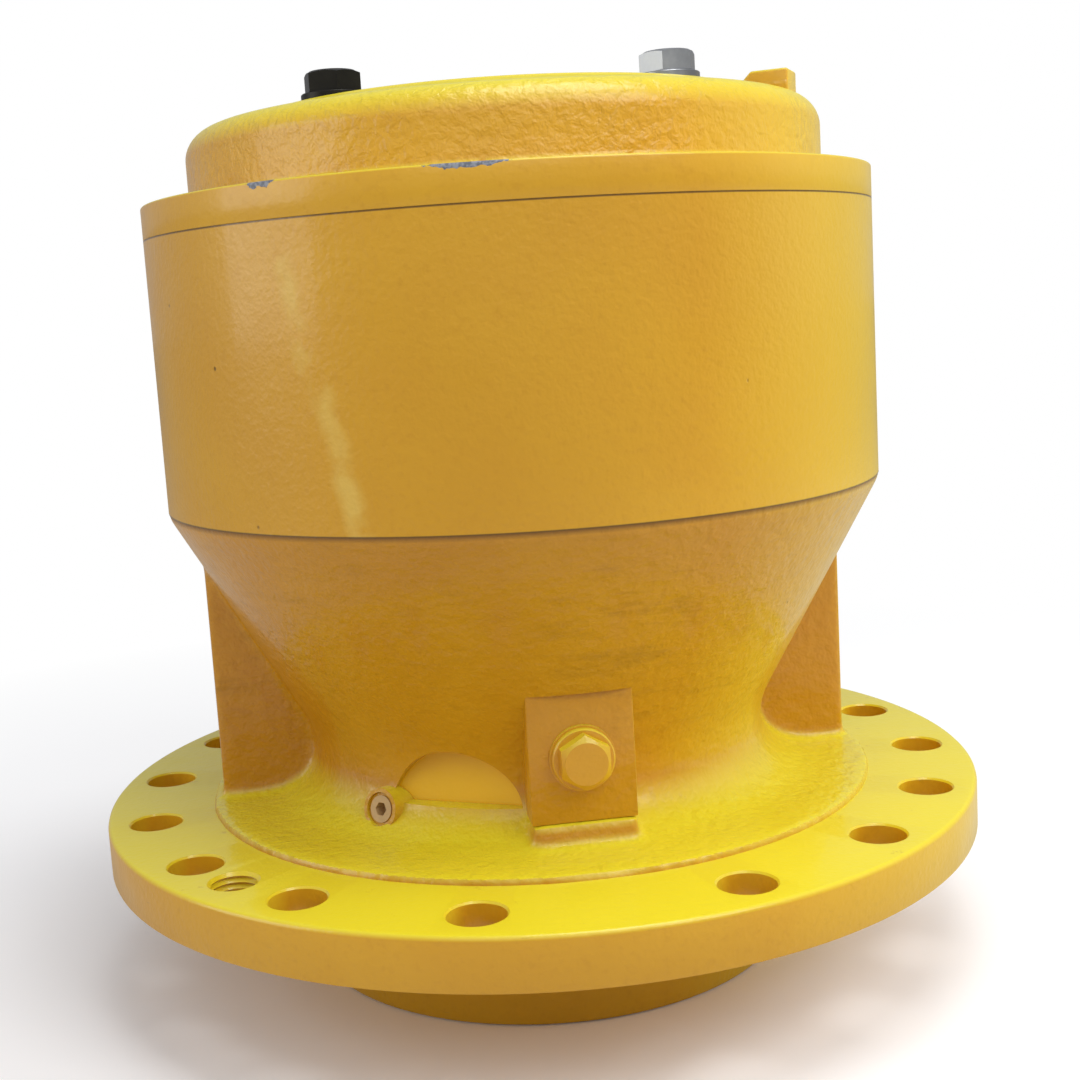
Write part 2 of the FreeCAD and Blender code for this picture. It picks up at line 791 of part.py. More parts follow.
def drain_plug_washer():
    """Soft sealing washer under the drain plug's collar."""
    washer = tube(drain_thread_radius + seat_fit, drain_flange_radius + 1.0, 0.0, drain_washer_thickness)
    return lying_on_pad(washer)


def lying_on_pad(shape):
    """Shape drawn on Z, laid on the pad's face with +Z turned outwards."""
    copy = shape.copy()
    copy.rotate(ORIGIN, X_AXIS, 90.0)
    copy.translate(FreeCAD.Vector(0, -pad_distance, drain_height))
    return copy


def socket_plug(radius, length, socket):
    """Flush plug with a hexagon socket; its outer face is at height 0."""
    body = Part.makeCylinder(radius, length, at(0, -length))
    return body.cut(hexagon(socket, -length / 2.0, 1.0))


def level_plug():
    """Socket plug in its tilted boss, a little below the face."""
    plug = socket_plug(level_plug_radius, level_plug_length, level_plug_socket)
    plug.rotate(ORIGIN, X_AXIS, 90.0 - level_tilt)
    plug.translate(level_face() - level_axis() * (level_recess / 2.0))
    return facing(plug, level_angle)


def filler_plug():
    """Socket plug in the filler boss."""
    plug = socket_plug(filler_plug_radius, filler_plug_length, filler_socket)
    return facing(moved(plug, 0.0, -filler_distance, dome_shoulder + filler_rise - plug_sink), filler_angle)


def hexagon_bolt():
    """Hexagon bolt standing on its washer on the motor face."""
    seat = motor_face + motor_washer_thickness
    shank = Part.makeCylinder(
        motor_thread_radius - seat_fit, motor_bolt_grip + motor_washer_thickness,
        at(0, motor_face - motor_bolt_grip))
    return one_solid(shank.fuse(hexagon_head(motor_bolt_hex, seat, seat + motor_bolt_head)))


def motor_washers():
    """Flat washers under the two bolts."""
    inner = motor_thread_radius + seat_fit
    washer = tube(inner, motor_washer_radius, motor_face, motor_face + motor_washer_thickness)
    return [motor_bolt_place(washer, angle) for angle in (black_bolt_angle, zinc_bolt_angle)]


# ---- Gear train ----------------------------------------------------------------
def stage_sizes(sun_teeth, planet_teeth, planet_floor, planet_width, pin_radius, bearing_wall,
                rim, floor_plate, top_plate, window_gap, post_gap, post_half_angle, pin_seat):
    """Values of one stage that its planets, pins, washers and carrier share."""
    distance = pitch_factor * (sun_teeth + planet_teeth)
    sun_tip = (pitch_factor * sun_teeth) + addendum * gear_module
    plate_top = planet_floor - side_gap - washer_thickness
    planet_top = planet_floor + planet_width
    upper_floor = planet_top + side_gap + washer_thickness
    return SimpleNamespace(
        planet_teeth=planet_teeth, pin_radius=pin_radius, planet_bore=pin_radius + bearing_wall,
        distance=distance, radius=distance + pin_radius + rim,
        window=sun_tip + window_gap, post_inner=sun_tip + post_gap, post_half_angle=post_half_angle,
        planet_floor=planet_floor, planet_top=planet_top,
        plate_floor=plate_top - floor_plate, plate_top=plate_top, pin_floor=plate_top - pin_seat,
        upper_floor=upper_floor, top=upper_floor + top_plate)


stage_2 = stage_sizes(
    sun_2_teeth, planet_2_teeth, planet_2_floor, planet_2_width, pin_2_radius, bearing_2_wall,
    carrier_2_rim, carrier_2_floor_plate, carrier_2_top_plate, carrier_2_window_gap,
    post_gap_2, post_half_angle_2, pin_2_seat)
stage_1 = stage_sizes(
    sun_1_teeth, planet_1_teeth, planet_1_floor, planet_1_width, pin_1_radius, bearing_1_wall,
    carrier_1_rim, carrier_1_floor_plate, carrier_1_top_plate, carrier_1_window_gap,
    post_gap_1, post_half_angle_1, pin_1_seat)


def at_planet(shape, stage, angle):
    """Shape drawn on Z, moved to a planet's axis."""
    place = polar(stage.distance, angle)
    return moved(rotated(shape, angle), place.x, place.y)


def planet_gear(stage, angle):
    """One planet in mesh with the ring gear."""
    blank = external_gear(stage.planet_teeth, stage.planet_floor, stage.planet_top)
    gear = blank.cut(tube(0.0, stage.planet_bore, stage.planet_floor, stage.planet_top))
    return at_planet(rotated(gear, ring_phase(angle, stage.planet_teeth) - angle), stage, angle)


def planet_bearing(stage, angle):
    """Caged needle bearing in the planet's bore, as one ring with a lobe for each roller."""
    outer = stage.planet_bore - seat_fit
    valley = outer - lobe_depth
    step = 360.0 / bearing_rollers
    outline = []
    for index in range(bearing_rollers):
        centre = index * step
        outline += [polar(outer, centre - step * 0.2), polar(outer, centre + step * 0.2)]
        outline += [polar(valley, centre + step * 0.35), polar(valley, centre + step * 0.65)]
    ring = prism(outline, stage.planet_floor, stage.planet_top)
    ring = ring.cut(tube(0.0, stage.pin_radius + running_fit, stage.planet_floor, stage.planet_top))
    return at_planet(ring, stage, angle)


def planet_pins(stage):
    """Three pins across the carrier, each with a blind hole for its roll pin."""
    pin = Part.makeCylinder(stage.pin_radius, stage.top - stage.pin_floor, at(0, stage.pin_floor))
    return [at_planet(pin.cut(roll_pin_hole(stage)), stage, angle) for angle in planet_angles()]


def roll_pin_height(stage):
    """Middle of the roll pin, in the carrier's lower plate."""
    return stage.plate_top - 2.5 * roll_pin_radius


def roll_pin_hole(stage):
    """Radial drill from a planet pin's axis outwards, drawn on the pin's own axis."""
    start = at(0, roll_pin_height(stage))
    return Part.makeCylinder(roll_pin_radius + seat_fit, 3.0 * stage.pin_radius, start, X_AXIS)


def roll_pins(stage):
    """Pins that lock the planet pins in the carrier."""
    length = stage.radius - stage.distance - roll_pin_sink
    pin = Part.makeCylinder(roll_pin_radius, length, at(0, roll_pin_height(stage)), X_AXIS)
    return [at_planet(pin, stage, angle) for angle in planet_angles()]


def thrust_washers(stage):
    """Washers on both sides of each planet, lying on the carrier's plates."""
    inner = stage.pin_radius + seat_fit
    outer = stage.planet_bore + washer_land
    lower = tube(inner, outer, stage.plate_top, stage.plate_top + washer_thickness)
    upper = tube(inner, outer, stage.upper_floor - washer_thickness, stage.upper_floor)
    return [at_planet(washer, stage, angle) for angle in planet_angles() for washer in (lower, upper)]


def carrier_posts(stage):
    """Webs between the planets that join the two plates."""
    section = profile_face([
        (stage.post_inner, stage.plate_top), (stage.radius, stage.plate_top),
        (stage.radius, stage.upper_floor), (stage.post_inner, stage.upper_floor)])
    post = section.revolve(ORIGIN, Z_AXIS, 2.0 * stage.post_half_angle)
    middle = 180.0 / planet_count - stage.post_half_angle
    return [rotated(post, angle + middle) for angle in planet_angles()]


def pin_drills(stage):
    """Bores of the planet pins and roll pins through a carrier."""
    drill = Part.makeCylinder(
        stage.pin_radius + seat_fit, stage.top - stage.pin_floor + 1.0, at(0, stage.pin_floor))
    return [at_planet(drill.fuse(roll_pin_hole(stage)), stage, angle) for angle in planet_angles()]


def carrier(stage, collar_height, spline_teeth, spline_radius, shaft_top):
    """Carrier: lower plate with a collar and a splined bore, three posts, ring-shaped upper plate."""
    lower = chamfered_tube(0.0, stage.radius, stage.plate_floor, stage.plate_top, plate_chamfer)
    upper = chamfered_tube(stage.window, stage.radius, stage.upper_floor, stage.top, plate_chamfer)
    body = lower.fuse([upper] + carrier_posts(stage))
    bore_floor = stage.plate_floor - collar_height
    if collar_height > 0:
        body = body.fuse(tube(0.0, carrier_1_collar_radius, bore_floor, stage.plate_top))
    female = spline_outline(spline_teeth, spline_radius - spline_depth, spline_radius, spline_fit)
    bore = prism(female, bore_floor, stage.plate_top)
    recess = tube(0.0, spline_radius + snap_ring_width, shaft_top - snap_ring_inset, stage.plate_top)
    return one_solid(body.cut(pin_drills(stage) + [bore, recess]))


def carrier_2():
    """Lower carrier, splined on the output hub."""
    return carrier(stage_2, 0.0, hub_spline_teeth, hub_spline_radius, hub_top)


def carrier_1():
    """Upper carrier, splined on the shank of the lower sun gear."""
    return carrier(stage_1, carrier_1_collar, sun_2_spline_teeth, sun_2_spline_radius, sun_2_top)


def snap_ring(radius, shaft_top):
    """Open retaining ring in the groove near the end of a splined shaft."""
    floor = shaft_top - snap_ring_inset
    top = floor + snap_ring_thickness
    inner = radius - snap_groove_depth + seat_fit
    outer = radius + snap_ring_width - 2.0 * spline_fit
    section = profile_face([(inner, floor), (outer, floor), (outer, top), (inner, top)])
    return section.revolve(ORIGIN, Z_AXIS, 360.0 - snap_ring_gap)


def snap_groove(radius, shaft_top):
    """Cutter of the retaining ring's groove."""
    floor = shaft_top - snap_ring_inset
    return tube(radius - snap_groove_depth, radius + 1.0, floor, floor + snap_ring_thickness + seat_fit)


def thrust_button(shaft_top, next_floor):
    """Hardened button in the end of a shaft, which takes the thrust of the gear above it."""
    return tube(0.0, button_radius, shaft_top - button_seat, next_floor - side_gap)


def sun_2():
    """Lower sun gear, with a splined shank that the upper carrier drives."""
    angle = sun_phase(first_planet_angle, planet_2_teeth, sun_2_teeth)
    teeth = rotated(external_gear(sun_2_teeth, stage_2.planet_floor, stage_2.planet_top), angle)
    shank = prism(
        spline_outline(sun_2_spline_teeth, sun_2_spline_radius - spline_depth, sun_2_spline_radius),
        stage_2.planet_top, sun_2_top)
    button_hole = tube(0.0, button_radius + seat_fit, sun_2_top - button_seat, sun_2_top)
    return one_solid(teeth.fuse(shank).cut([button_hole, snap_groove(sun_2_spline_radius, sun_2_top)]))


def sun_1():
    """Input sun gear, with a splined bore for the motor's shaft."""
    angle = sun_phase(first_planet_angle, planet_1_teeth, sun_1_teeth)
    teeth = rotated(external_gear(sun_1_teeth, sun_1_floor, sun_1_floor + planet_1_width), angle)
    shank_floor = stage_1.planet_top - plate_chamfer
    shank = chamfered_tube(0.0, input_shank_radius, shank_floor, input_top, plate_chamfer)
    splines = prism(
        spline_outline(input_spline_teeth, input_spline_minor, input_spline_major),
        input_top - input_spline_length, input_top)
    lead = tube(0.0, input_bore_radius, input_top - input_bore_length, input_top)
    return one_solid(teeth.fuse(shank).cut([splines, lead]))


# ---- Output hub and its bearings -----------------------------------------------
def output_hub():
    """Output shaft: female spline for the pinion, bearing seats, nut thread, male spline."""
    spline_floor = nut_floor + nut_height + 1.0
    seat = bearing_bore - seat_fit
    thread = nut_bore - seat_fit
    body = turned([
        (0.0, hub_floor),
        (seal_journal_radius - plate_chamfer, hub_floor),
        (seal_journal_radius, hub_floor + plate_chamfer),
        (seal_journal_radius, lower_bearing_floor),
        (seat, lower_bearing_floor),
        (seat, upper_bearing_floor + bearing_height),
        (thread, upper_bearing_floor + bearing_height),
        (thread, spline_floor),
        (0.0, spline_floor)])
    male = spline_outline(hub_spline_teeth, hub_spline_radius - spline_depth, hub_spline_radius)
    female = spline_outline(output_spline_teeth, output_spline_minor, output_spline_major)
    cutters = [
        tube(0.0, output_bore_radius, hub_floor, hub_floor + output_bore_length),
        prism(female, hub_floor, hub_floor + output_spline_length),
        tube(0.0, button_radius + seat_fit, hub_top - button_seat, hub_top),
        snap_groove(hub_spline_radius, hub_top)]
    return one_solid(body.fuse(prism(male, spline_floor, hub_top)).cut(cutters))


def bearing_geometry():
    """Shared cone geometry of a taper roller bearing whose wide end is at height 0."""
    middle = bearing_height / 2.0
    mean_radius = (bearing_bore + bearing_outer) / 2.0
    tilt = math.radians(bearing_tilt)
    roller_angle = math.atan(roller_radius * math.sin(tilt) / mean_radius)
    return SimpleNamespace(
        middle=middle, mean_radius=mean_radius, tilt=tilt, roller_angle=roller_angle,
        apex=middle + mean_radius / math.tan(tilt),
        cup_slope=math.tan(tilt + roller_angle),
        cone_slope=math.tan(tilt - roller_angle),
        along=FreeCAD.Vector(-math.sin(tilt), 0, math.cos(tilt)))


def bearing_cup(bearing):
    floor = 0.1 * bearing_height
    outer = bearing_outer - seat_fit
    return turned([
        ((bearing.apex - floor) * bearing.cup_slope + running_fit, floor),
        (outer, floor),
        (outer, bearing_height),
        ((bearing.apex - bearing_height) * bearing.cup_slope + running_fit, bearing_height)])


def bearing_cone(bearing):
    """Inner ring with the large rib at the rollers' wide end and the small rib at the other."""
    half = roller_length / 2.0
    inward = math.sin(bearing.tilt) * roller_radius * 1.1
    wide_end = bearing.middle - half * math.cos(bearing.tilt) - inward - running_fit
    narrow_end = bearing.middle + half * math.cos(bearing.tilt) - 0.5 * inward
    top = 0.95 * bearing_height
    wide_race = (bearing.apex - wide_end) * bearing.cone_slope - running_fit
    narrow_race = (bearing.apex - narrow_end) * bearing.cone_slope - running_fit
    return turned([
        (bearing_bore, 0.0),
        (wide_race + bearing_rib, 0.0),
        (wide_race + bearing_rib, wide_end),
        (wide_race, wide_end),
        (narrow_race, narrow_end),
        (narrow_race + bearing_rib / 2.0, narrow_end),
        (narrow_race + bearing_rib / 2.0, top),
        (bearing_bore, top)])


def bearing_rollers_set(bearing):
    """Tapered rollers lying on the races."""
    half = roller_length / 2.0
    growth = half * math.tan(bearing.roller_angle)
    centre = at(bearing.mean_radius, bearing.middle)
    wide_end = centre - bearing.along * half
    roller = Part.makeCone(
        roller_radius + growth, roller_radius - growth, roller_length, wide_end, bearing.along)
    return around(roller, roller_count)


def bearing_cage(bearing):
    """Conical cage with a window for each roller."""
    margin = 0.07 * bearing_height
    slope = math.tan(bearing.tilt)
    lower = margin
    upper = bearing_height - margin
    half_wall = cage_wall / 2.0
    band = turned([
        ((bearing.apex - lower) * slope - half_wall, lower),
        ((bearing.apex - lower) * slope + half_wall, lower),
        ((bearing.apex - upper) * slope + half_wall, upper),
        ((bearing.apex - upper) * slope - half_wall, upper)])
    width = 2.0 * (roller_radius + cage_play) + roller_length * math.tan(bearing.roller_angle)
    length = roller_length + 2.0 * cage_play
    window = Part.makeBox(
        4.0 * cage_wall, width, length, FreeCAD.Vector(-2.0 * cage_wall, -width / 2.0, -length / 2.0))
    window.rotate(ORIGIN, Y_AXIS, -bearing_tilt)
    return one_solid(band.cut(around(moved(window, bearing.mean_radius, 0.0, bearing.middle), roller_count)))


def seat_lower(shape):
    """Bearing piece moved to the lower seat, wide end down."""
    return moved(shape, 0.0, 0.0, lower_bearing_floor)


def seat_upper(shape):
    """Bearing piece moved to the upper seat, wide end up."""
    flipped = shape.mirror(at(0, bearing_height / 2.0), Z_AXIS)
    return moved(flipped, 0.0, 0.0, upper_bearing_floor)


def oil_seal():
    """Lip seal in the pilot's bore, running on the hub's journal."""
    top = seal_floor + seal_height
    outer = bearing_outer - seat_fit
    lip = seal_journal_radius + running_fit
    wall = seal_height / 5.0
    return turned([
        (lip + wall, seal_floor),
        (outer, seal_floor),
        (outer, top),
        (outer - wall, top),
        (outer - wall, seal_floor + wall),
        (lip + 3.0 * wall, seal_floor + wall),
        (lip + 2.0 * wall, top - wall),
        (lip, top - 2.0 * wall)])


def lock_washer():
    """Washer between the upper bearing's inner ring and the nut."""
    return tube(nut_bore, nut_radius, nut_floor - lock_washer_thickness, nut_floor)


def lock_nut():
    """Slotted nut that sets the bearings' preload."""
    body = chamfered_tube(nut_bore, nut_radius, nut_floor, nut_floor + nut_height, plate_chamfer)
    slot = Part.makeBox(
        nut_slot_depth, nut_slot_width, nut_height,
        FreeCAD.Vector(nut_radius - nut_slot_depth, -nut_slot_width / 2.0, nut_floor))
    return one_solid(body.cut(around(slot, nut_slots)))


# ---- Pieces written out --------------------------------------------------------
def write_castings():
    save("lower_housing", lower_housing())
    save("ring_gear", ring_gear())
    save("top_cover", top_cover())
    save("cover_screws", cover_screws())
    save("dowel_pins", dowel_pins())
    save("housing_o_ring", o_ring(housing_height, -1.0))
    save("cover_o_ring", o_ring(ring_top, 1.0))
    save("oil_seal", oil_seal())


def write_plugs_and_bolts():
    save("drain_plug", drain_plug())
    save("drain_plug_washer", drain_plug_washer())
    save("level_plug", level_plug())
    save("filler_plug", filler_plug())
    save("black_motor_bolt", motor_bolt_place(hexagon_bolt(), black_bolt_angle))
    save("zinc_motor_bolt", motor_bolt_place(hexagon_bolt(), zinc_bolt_angle))
    save("motor_bolt_washers", motor_washers())


def write_output():
    bearing = bearing_geometry()
    rollers = bearing_rollers_set(bearing)
    for name, seat in (("lower", seat_lower), ("upper", seat_upper)):
        save(name + "_bearing_cup", seat(bearing_cup(bearing)))
        save(name + "_bearing_cone", seat(bearing_cone(bearing)))
        save(name + "_bearing_rollers", [seat(roller) for roller in rollers])
        save(name + "_bearing_cage", seat(bearing_cage(bearing)))
    save("output_hub", output_hub())
    save("lock_washer", lock_washer())
    save("lock_nut", lock_nut())
    save("hub_snap_ring", snap_ring(hub_spline_radius, hub_top))
    save("hub_thrust_button", thrust_button(hub_top, planet_2_floor))


def write_stage(number, stage):
    save("planet_pins_" + number, planet_pins(stage))
    save("roll_pins_" + number, roll_pins(stage))
    save("thrust_washers_" + number, thrust_washers(stage))
    for letter, angle in zip("abc", planet_angles()):
        save("planet_gear_" + number + letter, planet_gear(stage, angle))
        save("planet_bearing_" + number + letter, planet_bearing(stage, angle))


def write_gear_train():
    write_stage("2", stage_2)
    write_stage("1", stage_1)
    save("carrier_2", carrier_2())
    save("carrier_1", carrier_1())
    save("sun_2", sun_2())
    save("sun_1", sun_1())
    save("sun_2_snap_ring", snap_ring(sun_2_spline_radius, sun_2_top))
    save("sun_2_thrust_button", thrust_button(sun_2_top, sun_1_floor))


os.makedirs("parts", exist_ok=True)
write_castings()
write_plugs_and_bolts()
write_output()
write_gear_train()
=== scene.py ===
import math

import bmesh
import bpy
from mathutils import Matrix, Vector


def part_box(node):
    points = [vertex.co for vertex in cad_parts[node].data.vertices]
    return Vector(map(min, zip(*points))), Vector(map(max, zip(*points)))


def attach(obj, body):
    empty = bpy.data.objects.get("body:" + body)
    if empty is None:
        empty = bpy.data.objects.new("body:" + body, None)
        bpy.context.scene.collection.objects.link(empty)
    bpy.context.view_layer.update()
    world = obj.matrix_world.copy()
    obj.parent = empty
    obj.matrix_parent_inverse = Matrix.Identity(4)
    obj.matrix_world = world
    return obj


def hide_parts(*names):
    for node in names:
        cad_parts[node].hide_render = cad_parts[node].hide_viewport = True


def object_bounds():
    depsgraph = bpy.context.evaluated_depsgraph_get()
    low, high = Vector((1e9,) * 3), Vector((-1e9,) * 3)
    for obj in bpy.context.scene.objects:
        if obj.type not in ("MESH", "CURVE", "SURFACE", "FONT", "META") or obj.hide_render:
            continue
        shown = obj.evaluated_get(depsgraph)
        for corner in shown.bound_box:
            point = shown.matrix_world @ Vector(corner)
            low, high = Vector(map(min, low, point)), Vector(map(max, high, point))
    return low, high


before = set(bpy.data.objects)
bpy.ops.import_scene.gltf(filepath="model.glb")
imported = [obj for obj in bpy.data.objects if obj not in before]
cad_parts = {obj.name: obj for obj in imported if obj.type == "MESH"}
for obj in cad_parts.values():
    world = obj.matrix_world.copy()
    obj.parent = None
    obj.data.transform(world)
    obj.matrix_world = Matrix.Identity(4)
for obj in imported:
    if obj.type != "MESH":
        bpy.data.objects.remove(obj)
cad_low, cad_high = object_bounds()
mm = 0.001


# ---- Mounting flange and pilot ----
# The foot of the gearbox is a heavy cast-iron flange, turned and drilled after casting:
# sixteen bolt holes, two tapped jacking holes, and a pilot that seats in the upper frame.
# It was sprayed with thick satin machinery paint once everything had been put together.

def corners(node):
    """Lowest and highest corner of a CAD node, in mm."""
    return [Vector(corner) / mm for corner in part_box(node)]


def spun(outline, steps=192):
    """Solid turned about Z from its half section, a ring of (radius, height) points in mm."""
    solid = bmesh.new()
    rim = [solid.verts.new((radius * mm, 0.0, height * mm)) for radius, height in outline]
    pairs = list(zip(rim, rim[1:]))
    if outline[0][0] > 0.0:
        pairs.append((rim[-1], rim[0]))
    edges = [solid.edges.new(pair) for pair in pairs]
    bmesh.ops.spin(solid, geom=rim + edges, cent=(0, 0, 0), axis=(0, 0, 1), angle=math.tau,
                   steps=steps, use_merge=True)
    bmesh.ops.remove_doubles(solid, verts=solid.verts, dist=1e-6)
    bmesh.ops.recalc_face_normals(solid, faces=solid.faces)
    return solid


def rounded(solid, radius, height, size, segments=4):
    """Rounds the turned edge that lies at one radius and height, all in mm."""
    def on_edge(vertex):
        reach = math.hypot(vertex.co.x, vertex.co.y)
        return abs(reach - radius * mm) < 1e-5 and abs(vertex.co.z - height * mm) < 1e-5
    edges = [edge for edge in solid.edges if on_edge(edge.verts[0]) and on_edge(edge.verts[1])]
    bmesh.ops.bevel(solid, geom=edges, offset=size * mm, affect="EDGES", segments=segments,
                    profile=0.5, material=-1)


def at_front(solid, degrees, place=Matrix()):
    """Places a shape at the front (-Y) and swings it towards +X."""
    turn = Matrix.Rotation(math.radians(degrees), 4, "Z")
    bmesh.ops.transform(solid, verts=solid.verts, matrix=turn @ place)
    return solid


def joined(*solids):
    """One mesh that holds several shapes; the shapes themselves are used up."""
    whole = bmesh.new()
    for solid in solids:
        mesh = bpy.data.meshes.new("part")
        solid.to_mesh(mesh)
        solid.free()
        whole.from_mesh(mesh)
        bpy.data.meshes.remove(mesh)
    return whole


def holder(name, solid):
    """Object with a shape for its mesh, in the scene."""
    mesh = bpy.data.meshes.new(name)
    solid.to_mesh(mesh)
    solid.free()
    made = bpy.data.objects.new(name, mesh)
    bpy.context.scene.collection.objects.link(made)
    return made


def worked(made, *helpers):
    """Shape that an object's modifiers make; the object and its helpers are removed."""
    evaluated = made.evaluated_get(bpy.context.evaluated_depsgraph_get())
    mesh = bpy.data.meshes.new_from_object(evaluated)
    solid = bmesh.new()
    solid.from_mesh(mesh)
    bpy.data.meshes.remove(mesh)
    for used in (made, *helpers):
        data = used.data
        bpy.data.objects.remove(used)
        bpy.data.meshes.remove(data)
    return solid


def combined(solid, tool, operation):
    """Result of cutting one shape with another, joining them, or keeping what they share."""
    made, helper = holder("work", solid), holder("tool", tool)
    modifier = made.modifiers.new("combine", "BOOLEAN")
    modifier.object = helper
    modifier.operation = operation
    modifier.solver = "EXACT"
    return worked(made, helper)


def piece(name, solid, material, node, sharp=35.0):
    """Finished piece of the gearbox that stands for a CAD node."""
    made = holder(name, solid)
    made.data.materials.append(material)
    made.data.polygons.foreach_set("use_smooth", [True] * len(made.data.polygons))
    made.data.set_sharp_from_angle(angle=math.radians(sharp))
    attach(made, "gearbox")
    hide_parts(node)
    return made


def linear(hex_colour):
    """sRGB hex colour as the linear RGBA that shaders take."""
    channels = [int(hex_colour[start:start + 2], 16) / 255 for start in (1, 3, 5)]
    return [c / 12.92 if c <= 0.04045 else ((c + 0.055) / 1.055) ** 2.4 for c in channels] + [1.0]


def add(tree, kind, *values, out=0, **named):
    """Node with its inputs in order or, capitalised, by name, and its settings; gives one output."""
    node = tree.nodes.new("ShaderNode" + kind)
    sockets = dict(enumerate(values))
    for name, value in named.items():
        if name[0].isupper():
            sockets[name.replace("_", " ")] = value
        else:
            setattr(node, name, value)
    for socket, value in sockets.items():
        if isinstance(value, bpy.types.NodeSocket):
            tree.links.new(value, node.inputs[socket])
        else:
            node.inputs[socket].default_value = value
    return node.outputs[out] if node.outputs else node


def material(name):
    """Empty node material, with the place on the object that its patterns read."""
    made = bpy.data.materials.new(name)
    made.use_nodes = True
    made.node_tree.nodes.clear()
    return made, made.node_tree, add(made.node_tree, "TexCoord", out="Object")


def paint(name, tint, peel, pebble, pits, wear=None):
    """Satin machinery paint, sprayed heavily on iron or steel.

    The paint is even and a little glossy, with orange peel some 2.5 mm across.  Its colour holds
    painted light: lighter and lemon on upward faces and on the side facing +X, as if lit from there.
    tint is the pair of hex colours it drifts between; peel and pebble are the depths in metres
    of the orange peel and of the mould's skin under it; pits is the share of blow holes.
    """
    made, tree, place = material(name)
    normal = add(tree, "TexCoord", out="Normal")
    upward = add(tree, "SeparateXYZ", normal, out="Z")
    drift = add(tree, "TexNoise", Vector=place, Scale=6.0, Detail=3.0)
    blotch = add(tree, "TexNoise", Vector=place, Scale=22.0, Detail=3.0, Roughness=0.6)
    speck = add(tree, "TexNoise", Vector=place, Scale=260.0, Detail=2.0)
    drift = add(tree, "MapRange", drift, 0.35, 0.65)
    colour = add(tree, "MixRGB", drift, linear(tint[0]), linear(tint[1]))
    worn = add(tree, "MapRange", blotch, 0.45, 0.75, 0.0, 0.45)
    colour = add(tree, "MixRGB", worn, colour, linear("#D1970F"))
    speck = add(tree, "MapRange", speck, 0.55, 0.75, 0.0, 0.25)
    colour = add(tree, "MixRGB", speck, colour, linear("#C48A10"))
    # painted light: faces turned towards +X are mixed towards lemon, as if lit from the right
    painted_light_from_right = add(tree, "MapRange", add(tree, "SeparateXYZ", normal, out="X"), 0.30, 0.95, 0.0, 0.75)
    colour = add(tree, "MixRGB", painted_light_from_right, colour, linear("#DDC42A"))
    # painted light: upward faces are mixed lighter and lemon, as if lit from above
    painted_light_from_above = add(tree, "MapRange", upward, 0.15, 0.95, 0.0, 0.9)
    colour = add(tree, "MixRGB", painted_light_from_above, colour, linear("#EADE2A"))
    rough = add(tree, "MapRange", blotch, 0.3, 0.7, 0.28, 0.40)
    orange = add(tree, "TexNoise", Vector=place, Scale=1 / 0.0026, Detail=1.5)
    skin = add(tree, "TexNoise", Vector=place, Scale=1 / 0.0065, Detail=2.5, Roughness=0.55)
    height = add(tree, "Math", orange, peel, operation="MULTIPLY")
    height = add(tree, "Math", skin, pebble, height, operation="MULTIPLY_ADD")
    if pits:
        cell = add(tree, "TexVoronoi", Vector=place, Scale=55.0)
        area = add(tree, "TexNoise", Vector=place, Scale=33.0)
        hole = add(tree, "MapRange", cell, 0.06, 0.02)
        some = add(tree, "MapRange", area, 0.62 - pits, 0.64)
        hole = add(tree, "Math", hole, some, operation="MULTIPLY")
        height = add(tree, "Math", hole, -0.0008, height, operation="MULTIPLY_ADD")
        # painted shade: the blow holes are darkened in colour as if shaded inside
        colour = add(tree, "MixRGB", add(tree, "Math", hole, 0.8, operation="MULTIPLY"), colour,
                     linear("#5A3C0A"))
    if wear:
        colour, rough, height = wear(tree, place, colour, rough, height)
    bump = add(tree, "Bump", Height=height, Distance=1.0)
    shader = add(tree, "BsdfPrincipled", Base_Color=colour, Roughness=rough, Normal=bump,
                 Coat_Weight=0.35, Coat_Roughness=0.12, IOR=1.5)
    add(tree, "OutputMaterial", shader)
    return made


flange_low, flange_high = corners("lower_housing")
flange_radius = flange_high.x
flange_top = 25.0
pilot_radius = 127.0
pilot_bore = 95.0
bolt_circle = 206.0
bolt_hole = 13.0
jack_hole = 10.5
thread_pitch = 3.0
thread_depth = 1.6
past_top = 34.0

flange = spun([(pilot_bore, flange_low.z), (pilot_radius, flange_low.z), (pilot_radius, 0.0),
               (flange_radius, 0.0), (flange_radius, flange_top), (pilot_bore, flange_top)], 240)
rounded(flange, flange_radius, flange_top, 2.4, 3)
rounded(flange, flange_radius, 0.0, 1.2, 2)
rounded(flange, pilot_radius, flange_low.z, 3.0, 2)

front_gap = 16.45
side_gap = (180.0 - front_gap - 40.0) / 6
bolt_angles = [front_gap] + [40.0 + side_gap * step for step in range(7)]
drills = []
for angle in [side * angle for angle in bolt_angles for side in (-1, 1)]:
    drill = spun([(0.0, -1.0), (bolt_hole + 1.0, -1.0), (bolt_hole, 1.0), (bolt_hole, flange_top - 0.9),
                  (bolt_hole + 1.1, flange_top + 0.2), (bolt_hole + 1.1, past_top), (0.0, past_top)], 48)
    drills.append(at_front(drill, angle, Matrix.Translation((0, -bolt_circle * mm, 0))))
for angle in (-51.4, 132.7):
    outline = [(0.0, -2.0), (jack_hole, -2.0)]
    for turn in range(9):
        root = turn * thread_pitch - 0.5
        outline += [(jack_hole, root), (jack_hole + thread_depth, root + thread_pitch / 2)]
    outline += [(jack_hole + thread_depth, past_top), (0.0, past_top)]
    drill = spun(outline, 40)
    drills.append(at_front(drill, angle, Matrix.Translation((0, -bolt_circle * mm, 0))))
flange = combined(flange, joined(*drills), "DIFFERENCE")


